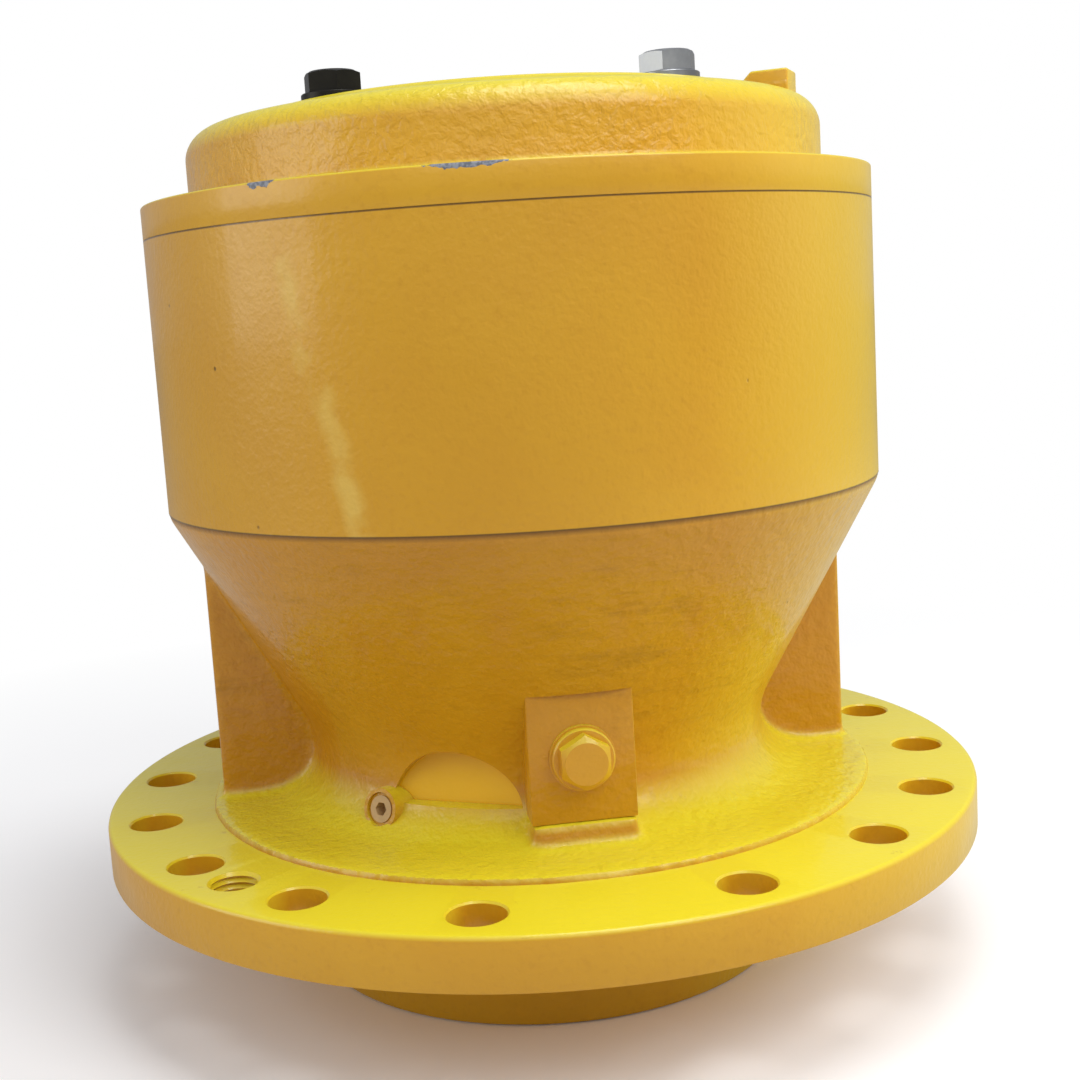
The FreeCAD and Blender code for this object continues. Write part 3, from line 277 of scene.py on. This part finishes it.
def handled(tree, place, colour, rough, height):
    """Fine scratches and small dents from years of slings and spanners."""
    stretched = add(tree, "Mapping", place, (0, 0, 0), (0.3, 0.2, 0.5), (1.0, 1.0, 9.0))
    scratch = add(tree, "TexNoise", Vector=stretched, Scale=70.0, Detail=5.0, Roughness=0.7)
    scratch = add(tree, "MapRange", scratch, 0.66, 0.72, 0.0, 0.35)
    colour = add(tree, "MixRGB", scratch, colour, linear("#A9791A"))
    height = add(tree, "Math", scratch, -0.0001, height, operation="MULTIPLY_ADD")
    return colour, rough, height


flange_paint = paint("machinery_paint_on_turned_iron", ("#D59C16", "#DEA91F"), 0.00022, 0.00020, 0.0,
                     handled)
piece("mounting_flange", flange, flange_paint, "lower_housing")


# ---- Waist and cone of the lower housing ----
# Above the flange the same casting narrows round the output bearings and opens again as
# a cone to the ring gear.  Its sand mould left pebbled skin, blow holes and soft fillets
# where the gussets, the foot of the drain pad and the raised land run together.

def rod(radius, low, high, steps=48, top=None):
    """Upright round rod or cone in mm."""
    solid = bmesh.new()
    bmesh.ops.create_cone(solid, cap_ends=True, segments=steps, radius1=radius * mm,
                          radius2=(radius if top is None else top) * mm, depth=(high - low) * mm)
    bmesh.ops.translate(solid, verts=solid.verts, vec=(0, 0, (low + high) / 2 * mm))
    return solid


def block(low, high):
    """Upright block between two corners in mm."""
    solid = bmesh.new()
    bmesh.ops.create_cube(solid, size=1.0)
    bmesh.ops.scale(solid, verts=solid.verts, vec=(Vector(high) - Vector(low)) * mm)
    bmesh.ops.translate(solid, verts=solid.verts, vec=(Vector(high) + Vector(low)) / 2 * mm)
    return solid


def trimmed(solid, height, keep_below):
    """Cuts a shape level at a height and closes it."""
    cut = bmesh.ops.bisect_plane(solid, geom=solid.verts[:] + solid.edges[:] + solid.faces[:],
                                 plane_co=(0, 0, height * mm), plane_no=(0, 0, 1),
                                 clear_outer=keep_below, clear_inner=not keep_below)
    rim = [item for item in cut["geom_cut"] if isinstance(item, bmesh.types.BMEdge)]
    bmesh.ops.holes_fill(solid, edges=rim, sides=0)
    return solid


def cast_skin(solid, grain, passes):
    """One closed skin over a heap of shapes, its corners softened as a mould's are."""
    made = holder("work", solid)
    modifier = made.modifiers.new("skin", "REMESH")
    modifier.mode = "VOXEL"
    modifier.voxel_size = grain * mm
    skin = worked(made)
    for _ in range(passes):
        bmesh.ops.smooth_vert(skin, verts=skin.verts, factor=0.5, use_axis_x=True, use_axis_y=True,
                              use_axis_z=True)
    return skin


land_radius = 176.0
land_top = 28.0
rim_radius = corners("ring_gear")[1].x
housing_top = corners("ring_gear")[0].z
cone_slope = 0.548
cone_top = housing_top - 1.5
cone_foot = rim_radius - cone_slope * (cone_top - land_top)
waist_fillet = 30.0
waist_reach = waist_fillet / math.tan(math.atan(1.0 / cone_slope) / 2)
waist = spun([(0.0, 15.0), (land_radius, 15.0), (land_radius, land_top), (cone_foot, land_top),
              (rim_radius, cone_top), (rim_radius, housing_top + 6.0), (0.0, housing_top + 6.0)], 160)
rounded(waist, cone_foot, land_top, waist_reach, 16)

gusset_half = 11.0
gusset_reach = 170.0
gusset_top = 166.0
core_radius = 95.0
gussets = []
for angle in (-90.0, 90.0, 180.0):
    gusset = block((-gusset_half, -gusset_reach, 20.0), (gusset_half, -core_radius, gusset_top))
    gussets.append(at_front(gusset, angle))
pad_face = 139.0
pad_half = 24.75
pad_low = 39.0
pad_step = 2.6
pad_recess = 2.3
pad_high = cone_top - (rim_radius - pad_face - pad_recess) / cone_slope
pad_foot = block((-pad_half, -pad_face - pad_step, 20.0), (pad_half, -90.0, pad_low))
casting = cast_skin(joined(waist, pad_foot, *gussets), 2.0, 5)
casting = trimmed(trimmed(casting, housing_top, True), 22.0, False)

# the edge of the land is turned, and a round-topped facet is cut into the waist
land_edge = spun([(land_radius, 20.0), (190.0, 20.0), (190.0, land_top + 1.0),
                  (land_radius - 2.2, land_top + 1.0), (land_radius, land_top - 1.2)], 240)
pocket_angle = -28.2
pocket_radius = 35.0
pocket_lean = 8.0
pocket_floor = land_top + 14.0
pocket_place = Matrix.Translation((0.0, -(cone_foot + 13.5) * mm, (land_top + 5.0) * mm))
arch = rod(pocket_radius, 0.0, 60.0, 96)
leaning = Matrix.Rotation(math.radians(90.0 - pocket_lean), 4, "X")
bmesh.ops.transform(arch, verts=arch.verts, matrix=pocket_place @ leaning)
arch = at_front(trimmed(arch, pocket_floor, False), pocket_angle)
casting = combined(casting, joined(land_edge, arch), "DIFFERENCE")

# the pad's face and the socket plug's boss are milled, so their edges are crisp
pad = block((-pad_half, -pad_face, pad_low), (pad_half, -core_radius, pad_high))
bmesh.ops.bevel(pad, geom=pad.edges[:], offset=0.6 * mm, affect="EDGES", segments=2, profile=0.5,
                material=-1)
level_angle = -45.0
level_lean = 14.0
level_place = Matrix.Translation((0.0, -(cone_foot + 28.0) * mm, (land_top + 11.5) * mm))
level_place = level_place @ Matrix.Rotation(math.radians(90.0 - level_lean), 4, "X")
boss = at_front(rod(16.0, -40.0, 0.0, 48, 10.0), level_angle, level_place)
casting = combined(casting, pad, "UNION")
casting = combined(casting, boss, "UNION")

drain_low, drain_high = corners("drain_plug")
drain_height = (drain_low.z + drain_high.z) / 2
outward = Matrix.Rotation(math.radians(90.0), 4, "X")
cavity = spun([(0.0, -80.0), (pilot_bore, -80.0), (pilot_bore, 60.0), (100.0, 70.0),
               (150.0, 158.0), (150.0, 200.0), (0.0, 200.0)], 96)
drain_place = Matrix.Translation((0, 0, drain_height * mm)) @ outward
drain_drill = at_front(rod(9.6, 75.0, 165.0, 32), 0.0, drain_place)
level_recess = at_front(rod(8.1, -1.6, 5.0, 48), level_angle, level_place)
casting = combined(casting, joined(cavity, drain_drill, level_recess), "DIFFERENCE")
inset = 0.05
mill = block((inset - pad_half, -150.0, pad_low + inset),
             (pad_half - inset, inset - pad_face, pad_high))
casting = combined(casting, mill, "DIFFERENCE")
level_drill = at_front(rod(6.52, -50.0, 1.0, 32), level_angle, level_place)
casting = combined(casting, level_drill, "DIFFERENCE")


def grime_and_painted_facet_light(tree, place, colour, rough, height):
    """Oily dust in level streaks and in the seam above; the arched facet stays smooth, and its colour is
    made brighter yellow as painted bounce light.
    """
    facing = Matrix.Rotation(math.radians(pocket_angle), 4, "Z")
    middle = (facing @ pocket_place).translation
    offset = add(tree, "VectorMath", place, middle, operation="SUBTRACT")
    outwards = (facing @ leaning).col[2].xyz
    off_plane = add(tree, "VectorMath", offset, outwards, operation="DOT_PRODUCT", out="Value")
    facet = add(tree, "MapRange", add(tree, "Math", off_plane, operation="ABSOLUTE"), 0.0006, 0.0003)
    from_middle = add(tree, "VectorMath", offset, operation="LENGTH", out="Value")
    inside = add(tree, "MapRange", from_middle, 0.037, 0.0355)
    facet = add(tree, "Math", facet, inside, operation="MULTIPLY")
    # painted light: the arched facet's colour is made brighter yellow, standing in for light bounced up
    # from the flange
    colour = add(tree, "MixRGB", facet, colour, linear("#F0BC12"))
    smooth = add(tree, "MapRange", facet, 0.0, 1.0, 1.0, 0.3)
    height = add(tree, "Math", height, smooth, operation="MULTIPLY")
    stretched = add(tree, "Mapping", place, (0, 0, 0), (0, 0, 0), (1.0, 1.0, 5.0))
    streak = add(tree, "TexNoise", Vector=stretched, Scale=24.0, Detail=6.0, Roughness=0.65)
    area = add(tree, "TexNoise", Vector=place, Scale=11.0, Detail=2.0)
    streak = add(tree, "MapRange", streak, 0.52, 0.72)
    area = add(tree, "MapRange", area, 0.45, 0.7)
    grime = add(tree, "Math", streak, area, operation="MULTIPLY")
    high = add(tree, "SeparateXYZ", place, out="Z")
    grime = add(tree, "Math", grime, add(tree, "MapRange", high, 0.060, 0.085), operation="MULTIPLY")
    seam = add(tree, "MapRange", high, (housing_top - 2.5) * mm, (housing_top - 0.4) * mm, 0.0, 0.8)
    grime = add(tree, "Math", grime, 0.5, operation="MULTIPLY")
    grime = add(tree, "Math", grime, seam, operation="MAXIMUM")
    colour = add(tree, "MixRGB", grime, colour, linear("#7A4F10"))
    rough = add(tree, "Math", grime, 0.25, rough, operation="MULTIPLY_ADD")
    return colour, rough, height


casting_paint = paint("machinery_paint_on_sand_cast_iron", ("#C2850E", "#CE9214"), 0.00030, 0.0013, 0.06,
                      grime_and_painted_facet_light)
piece("waist_casting", casting, casting_paint, "lower_housing", 28.0)


# ---- Drain plug ----
# Hexagon plug with a collar, turned from steel, tightened on a soft ring against the pad
# and sprayed over with the housing; its corners are chamfered down to a round crown.

def hexagon_head(across, low, high, crown, drop):
    """Hexagon whose outer corners are turned down to a round crown, in mm."""
    prism = rod(across / math.sqrt(3.0), low, high, 6)
    reach = across * 0.6
    turned = spun([(0.0, low - 1.0), (reach, low - 1.0), (reach, high - drop - (reach - crown) * 0.3),
                   (crown, high - 0.35), (crown - 0.5, high), (0.0, high)], 72)
    return combined(prism, turned, "INTERSECT")


on_pad = Matrix.Translation((0, -pad_face * mm, drain_height * mm)) @ outward
collar = spun([(0.0, 1.4), (14.2, 1.4), (14.5, 1.8), (14.5, 4.0), (13.9, 4.6), (0.0, 4.6)], 96)
head = hexagon_head(22.5, 4.3, 11.6, 10.4, 1.6)
plug_paint = paint("machinery_paint_on_plug", ("#D0951A", "#DBA324"), 0.00018, 0.00005, 0.0, handled)
piece("drain_plug_head", at_front(joined(collar, head), 0.0, on_pad), plug_paint,
      "drain_plug", 30.0)


# ---- Ring gear ----
# A forged and turned steel ring whose teeth face inwards.  Its outside is smooth under the
# same paint, with fine orange peel from the spray gun and a scuffed streak from handling.

def finish(name, made):
    """Gives a CAD node its material."""
    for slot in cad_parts[name].material_slots:
        slot.material = made


def scuffed(tree, place, colour, rough, height):
    """A pale rubbed streak down the left front, and dark oily lines in both joints."""
    x = add(tree, "SeparateXYZ", place, out="X")
    y = add(tree, "SeparateXYZ", place, out="Y")
    z = add(tree, "SeparateXYZ", place, out="Z")
    front = add(tree, "Math", y, -1.0, operation="MULTIPLY")
    angle = add(tree, "Math", x, front, operation="ARCTAN2")
    wave = add(tree, "TexNoise", Vector=place, Scale=30.0, Detail=3.0)
    line = add(tree, "Math", z, -1.44, math.radians(-14.8), operation="MULTIPLY_ADD")
    off = add(tree, "Math", angle, line, operation="SUBTRACT")
    off = add(tree, "Math", add(tree, "Math", wave, 0.06, off, operation="MULTIPLY_ADD"), 0.03,
              operation="SUBTRACT")
    streak = add(tree, "MapRange", add(tree, "Math", off, operation="ABSOLUTE"), 0.045, 0.012, 0.0, 1.0)
    broken = add(tree, "MapRange", add(tree, "TexNoise", Vector=place, Scale=55.0, Detail=4.0), 0.42, 0.62)
    streak = add(tree, "Math", streak, broken, operation="MULTIPLY")
    streak = add(tree, "Math", streak, 0.5, operation="MULTIPLY")
    colour = add(tree, "MixRGB", streak, colour, linear("#E9CB66"))
    rough = add(tree, "Math", streak, 0.3, rough, operation="MULTIPLY_ADD")
    for joint_height in (housing_top, corners("ring_gear")[1].z):
        away = add(tree, "Math", z, joint_height * mm, operation="SUBTRACT")
        away = add(tree, "Math", away, operation="ABSOLUTE")
        seam = add(tree, "MapRange", away, 0.0009, 0.0004, 0.0, 0.85)
        colour = add(tree, "MixRGB", seam, colour, linear("#4A2F0A"))
    return colour, rough, height


ring_paint = paint("machinery_paint_on_turned_steel", ("#D0981A", "#D9A320"), 0.00028, 0.00028, 0.03,
                   scuffed)
finish("ring_gear", ring_paint)


# ---- Cover ----
# Cast-iron lid that sixteen long screws clamp to the ring gear and housing.  The rim and
# the motor's face are machined; the dome keeps the coarse skin of its mould under paint.

joint = corners("ring_gear")[1].z
ledge = joint + 16.0
dome_radius = 161.0
shoulder = joint + 54.5
motor_face = shoulder + 2.5
screw_circle = 169.5
bolt_reach = 110.0
zinc_angle = 37.5
cover = spun([(140.0, joint), (rim_radius, joint), (rim_radius, ledge), (dome_radius, ledge),
              (dome_radius, shoulder - 4.0), (129.0, shoulder), (126.0, motor_face),
              (75.0, motor_face), (75.0, motor_face - 14.0), (62.0, motor_face - 14.0),
              (62.0, motor_face - 28.0), (132.0, motor_face - 28.0)], 240)
rounded(cover, dome_radius, shoulder - 4.0, 13.0, 10)
rounded(cover, dome_radius, ledge, 4.0, 4)
rounded(cover, rim_radius, ledge, 1.0, 3)
rounded(cover, rim_radius, joint, 0.5, 2)
rounded(cover, 126.0, motor_face, 0.8, 2)
filler_angle = 60.0
filler_reach = 140.0
filler_half = 11.0
filler = block((-10.0, -filler_reach - filler_half, shoulder - 16.0),
               (10.0, -filler_reach + filler_half, shoulder + 7.0))
inner_edge = [edge for edge in filler.edges
              if all(end.co.y > -filler_reach * mm and end.co.z > shoulder * mm for end in edge.verts)]
bmesh.ops.bevel(filler, geom=inner_edge, offset=4.2 * mm, affect="EDGES", segments=1, profile=0.5,
                material=-1)
bmesh.ops.bevel(filler, geom=filler.edges[:], offset=1.2 * mm, affect="EDGES", segments=3, profile=0.5,
                material=-1)
cover = combined(cover, at_front(filler, filler_angle), "UNION")
drills = [at_front(rod(6.1, shoulder - 28.0, shoulder + 9.0, 40), filler_angle,
                   Matrix.Translation((0, -filler_reach * mm, 0)))]
for index in range(16):
    drills.append(at_front(rod(8.3, ledge - 11.0, ledge + 4.5, 40), (index + 0.5) * 22.5,
                           Matrix.Translation((0, -screw_circle * mm, 0))))
for index in range(4):
    drill = spun([(0.0, motor_face - 24.0), (7.0, motor_face - 24.0), (7.0, motor_face - 1.2),
                  (8.4, motor_face + 0.2), (8.4, motor_face + 3.0), (0.0, motor_face + 3.0)], 40)
    drills.append(at_front(drill, zinc_angle + 90.0 * index, Matrix.Translation((0, -bolt_reach * mm, 0))))
cover = combined(cover, joined(*drills), "DIFFERENCE")


def chipped(tree, place, colour, rough, height):
    """Paint knocked off the rim's top edge in two places, down to the grey primer."""
    x = add(tree, "SeparateXYZ", place, out="X")
    y = add(tree, "SeparateXYZ", place, out="Y")
    z = add(tree, "SeparateXYZ", place, out="Z")
    front = add(tree, "Math", y, -1.0, operation="MULTIPLY")
    angle = add(tree, "Math", x, front, operation="ARCTAN2")
    ragged = add(tree, "TexNoise", Vector=place, Scale=240.0, Detail=4.0, Roughness=0.65)
    reach = add(tree, "MapRange", z, (ledge - 5.0) * mm, (ledge - 0.5) * mm, -0.8, 0.35)
    reach = add(tree, "Math", reach, add(tree, "Math", ragged, -0.5, operation="ADD"), operation="ADD")
    outer = add(tree, "VectorMath", place, (1.0, 1.0, 0.0), operation="MULTIPLY")
    outer = add(tree, "VectorMath", outer, operation="LENGTH", out="Value")
    outer = add(tree, "MapRange", outer, (rim_radius - 3.5) * mm, (rim_radius - 2.5) * mm)
    mottle = add(tree, "TexNoise", Vector=place, Scale=600.0, Detail=3.0)
    mottle = add(tree, "MapRange", mottle, 0.42, 0.60)
    primer = add(tree, "MixRGB", mottle, linear("#5F646E"), linear("#8D929C"))
    for centre, half in ((-42.0, 3.2), (-12.8, 6.2)):
        side = add(tree, "Math", angle, math.radians(centre), operation="SUBTRACT")
        side = add(tree, "Math", side, operation="ABSOLUTE")
        side = add(tree, "MapRange", side, math.radians(half * 1.1), math.radians(half * 0.4), -0.6, 0.25)
        chip = add(tree, "Math", side, reach, operation="ADD")
        chip = add(tree, "Math", add(tree, "MapRange", chip, 0.10, 0.13), outer, operation="MULTIPLY")
        colour = add(tree, "MixRGB", chip, colour, primer)
        rough = add(tree, "Math", chip, 0.3, rough, operation="MULTIPLY_ADD")
        height = add(tree, "Math", chip, -0.00025, height, operation="MULTIPLY_ADD")
    return colour, rough, height


def pebbled(tree, place, colour, rough, height):
    """Coarse mould skin on the dome only, and chips on the rim."""
    outer = add(tree, "VectorMath", place, (1.0, 1.0, 0.0), operation="MULTIPLY")
    outer = add(tree, "VectorMath", outer, operation="LENGTH", out="Value")
    dome = add(tree, "MapRange", outer, (dome_radius + 5.0) * mm, (dome_radius + 1.0) * mm)
    milled = add(tree, "MapRange", add(tree, "SeparateXYZ", place, out="Z"), (motor_face - 1.0) * mm,
                 (motor_face - 2.5) * mm)
    coarse = add(tree, "TexNoise", Vector=place, Scale=1 / 0.0048, Detail=2.5, Roughness=0.55,
                 Distortion=0.25)
    coarse = add(tree, "Math", coarse, add(tree, "Math", dome, milled, operation="MULTIPLY"),
                 operation="MULTIPLY")
    height = add(tree, "Math", coarse, 0.0015, height, operation="MULTIPLY_ADD")
    return chipped(tree, place, colour, rough, height)


cover_paint = paint("machinery_paint_on_cover", ("#D59D1A", "#DEA923"), 0.00014, 0.00012, 0.0, pebbled)
piece("cover_casting", cover, cover_paint, "top_cover")


# ---- Motor bolts ----
# Two of the hydraulic motor's four bolts were left standing in their holes with a washer
# each: one black-oxide, one zinc-plated, both cold headed with a turned chamfer.

def plain_finish(name, hex_colour, rough, grain, metal=1.0, turned=0.0):
    """Unpainted surface: uneven sheen, grain some 0.9 mm across and, if turned, tool marks.

    grain and turned are the depths in metres of the grain and of the marks, 0.35 mm apart.
    """
    made, tree, place = material(name)
    cloud = add(tree, "TexNoise", Vector=place, Scale=60.0, Detail=4.0, Roughness=0.6)
    fine = add(tree, "TexNoise", Vector=place, Scale=1 / 0.0009, Detail=3.0)
    tone = [channel * 0.72 for channel in linear(hex_colour)[:3]] + [1.0]
    colour = add(tree, "MixRGB", add(tree, "MapRange", cloud, 0.35, 0.65), tone, linear(hex_colour))
    shine = add(tree, "MapRange", cloud, 0.3, 0.7, rough * 0.8, rough * 1.25)
    height = add(tree, "Math", fine, grain, operation="MULTIPLY")
    if turned:
        faced = add(tree, "TexWave", Vector=place, Scale=900.0, Distortion=0.4, wave_type="RINGS",
                    rings_direction="Z")
        sides = add(tree, "TexWave", Vector=place, Scale=900.0, Distortion=0.4, wave_type="BANDS",
                    bands_direction="Z")
        height = add(tree, "Math", faced, turned, height, operation="MULTIPLY_ADD")
        height = add(tree, "Math", sides, turned, height, operation="MULTIPLY_ADD")
    bump = add(tree, "Bump", Height=height, Distance=1.0)
    shader = add(tree, "BsdfPrincipled", Base_Color=colour, Metallic=metal, Roughness=shine, Normal=bump)
    add(tree, "OutputMaterial", shader)
    return made


black_oxide = plain_finish("black_oxide_on_steel", "#2A2823", 0.36, 0.00002, 0.7)
zinc_plate = plain_finish("dull_zinc_plate", "#B4B6B8", 0.36, 0.00001)
for name, angle, made, slot in (("black", zinc_angle - 90.0, black_oxide, "black_oxide"),
                                ("zinc", zinc_angle, zinc_plate, "zinc_steel")):
    spot = Matrix.Translation((0, -bolt_reach * mm, motor_face * mm))
    washer = spun([(7.3, 0.0), (15.0, 0.0), (15.0, 2.6), (14.6, 3.0), (7.3, 3.0)], 72)
    piece(name + "_washer", at_front(washer, angle, spot), made, "motor_bolt_washers")
    shank = rod(6.9, -18.0, 3.2, 32)
    seat = rod(11.6, 3.0, 3.5, 48)
    bolt = joined(shank, seat, hexagon_head(24.0, 3.4, 13.0, 11.2, 0.8))
    piece(name + "_bolt", at_front(bolt, angle, spot), made, name + "_motor_bolt", 30.0)


# ---- Inner works ----
# Ground gears, ductile iron carriers, polished taper bearings, bronze washers and nitrile
# seals stay as machined and oiled; only what shows outside was sprayed with the castings.

gear_steel = plain_finish("ground_gear_steel", "#9DA0A2", 0.26, 0.00001)
shaft_steel = plain_finish("turned_shaft_steel", "#8F9193", 0.32, 0.00001, turned=0.000012)
carrier_iron = plain_finish("machined_ductile_iron", "#66686A", 0.44, 0.00003, turned=0.00001)
bearing_steel = plain_finish("polished_bearing_steel", "#C3C6C8", 0.14, 0.000004)
cage_steel = plain_finish("phosphated_cage_steel", "#6B6A62", 0.46, 0.00002)
bronze = plain_finish("oiled_bearing_bronze", "#A9834A", 0.34, 0.00002)
rubber = plain_finish("black_nitrile_rubber", "#1D1D1F", 0.52, 0.00002, 0.0)
worn_plug = plain_finish("paint_worn_to_tan_on_plug", "#D3AE76", 0.42, 0.00003, 0.0)

node_finishes = (
    ("sun_", gear_steel), ("planet_gear", gear_steel), ("planet_bearing", bearing_steel),
    ("planet_pins", shaft_steel), ("roll_pins", shaft_steel), ("dowel_pins", shaft_steel),
    ("output_hub", shaft_steel), ("lock_", shaft_steel), ("hub_", shaft_steel),
    ("sun_2_", shaft_steel), ("carrier_", carrier_iron), ("thrust_washers", bronze),
    ("lower_bearing", bearing_steel), ("upper_bearing", bearing_steel),
    ("lower_bearing_cage", cage_steel), ("upper_bearing_cage", cage_steel),
    ("housing_o_ring", rubber), ("cover_o_ring", rubber), ("oil_seal", rubber),
    ("level_plug", worn_plug), ("filler_plug", plug_paint), ("cover_screws", plug_paint),
    ("drain_plug_washer", plug_paint))
for start, made in node_finishes:
    for node_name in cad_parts:
        if node_name.startswith(start):
            finish(node_name, made)


# ---- Floor, light and camera ----
# The gearbox stands on its pilot on a plain pale studio floor that is white to the camera.
# Soft panels light it from above, from the front and from both sides.

grid = bmesh.new()
bmesh.ops.create_grid(grid, x_segments=1, y_segments=1, size=30.0)
bmesh.ops.translate(grid, verts=grid.verts, vec=(0, 0, cad_low[2]))
floor = holder("floor", grid)
made, tree, place = material("pale_studio_floor")
camera_ray = add(tree, "LightPath", out="Is Camera Ray")
shade = add(tree, "MixRGB", camera_ray, linear("#D0CBC0"), linear("#FFFFFF"))
matt = add(tree, "BsdfDiffuse", shade)
glow = add(tree, "Emission", linear("#FFFFFF"), 1.0)
away = add(tree, "VectorMath", place, operation="LENGTH", out="Value")
far = add(tree, "Math", add(tree, "MapRange", away, 0.3, 0.9), camera_ray, operation="MULTIPLY")
add(tree, "OutputMaterial", add(tree, "MixShader", far, matt, glow))
floor.data.materials.append(made)

world = bpy.data.worlds.new("studio")
bpy.context.scene.world = world
world.use_nodes = True
tree = world.node_tree
tree.nodes.clear()
camera_ray = add(tree, "LightPath", out="Is Camera Ray")
soft = add(tree, "Background", linear("#F6F8FF"), 0.43)
white = add(tree, "Background", linear("#FFFFFF"), 1.0)
add(tree, "OutputWorld", add(tree, "MixShader", camera_ray, soft, white))


def lamp(name, place, aim, size, power):
    """Square soft light aimed at a point."""
    light = bpy.data.lights.new(name, "AREA")
    light.size = size
    light.energy = power
    stand = bpy.data.objects.new(name, light)
    bpy.context.scene.collection.objects.link(stand)
    stand.location = place
    stand.rotation_euler = (Vector(aim) - Vector(place)).to_track_quat("-Z", "Y").to_euler()
    return stand


lamp("top_panel", (0.3, -0.35, 1.9), (0, 0, 0.1), 0.9, 12.0)
lamp("key_panel", (1.0, -1.4, 1.6), (0, 0, 0.1), 1.0, 11.5)
lamp("front_panel", (-0.3, -1.6, 1.5), (0, 0, 0.1), 1.6, 6.5)
right_panel = lamp("right_panel", (1.9, -0.2, 0.8), (0, 0, 0.1), 1.2, 20.0)
right_panel.visible_glossy = False
lamp("left_panel", (-1.9, -0.3, 0.8), (0, 0, 0.1), 1.2, 9.0)

eye = bpy.data.cameras.new("camera")
eye.lens = 50.97
eye.sensor_width = 36.0
eye.shift_x = 0.01756
eye.shift_y = -0.0051
camera = bpy.data.objects.new("camera", eye)
bpy.context.scene.collection.objects.link(camera)
camera.matrix_world = (
    Matrix.Rotation(math.radians(-8.05), 4, "Z") @ Matrix.Translation((0.0, -0.8115, 0.2743))
    @ Matrix.Rotation(math.radians(0.19), 4, "Z") @ Matrix.Rotation(math.radians(81.5), 4, "X")
    @ Matrix.Rotation(math.radians(-3.48), 4, "Z"))
bpy.context.scene.camera = camera
bpy.context.scene.view_settings.view_transform = "Standard"
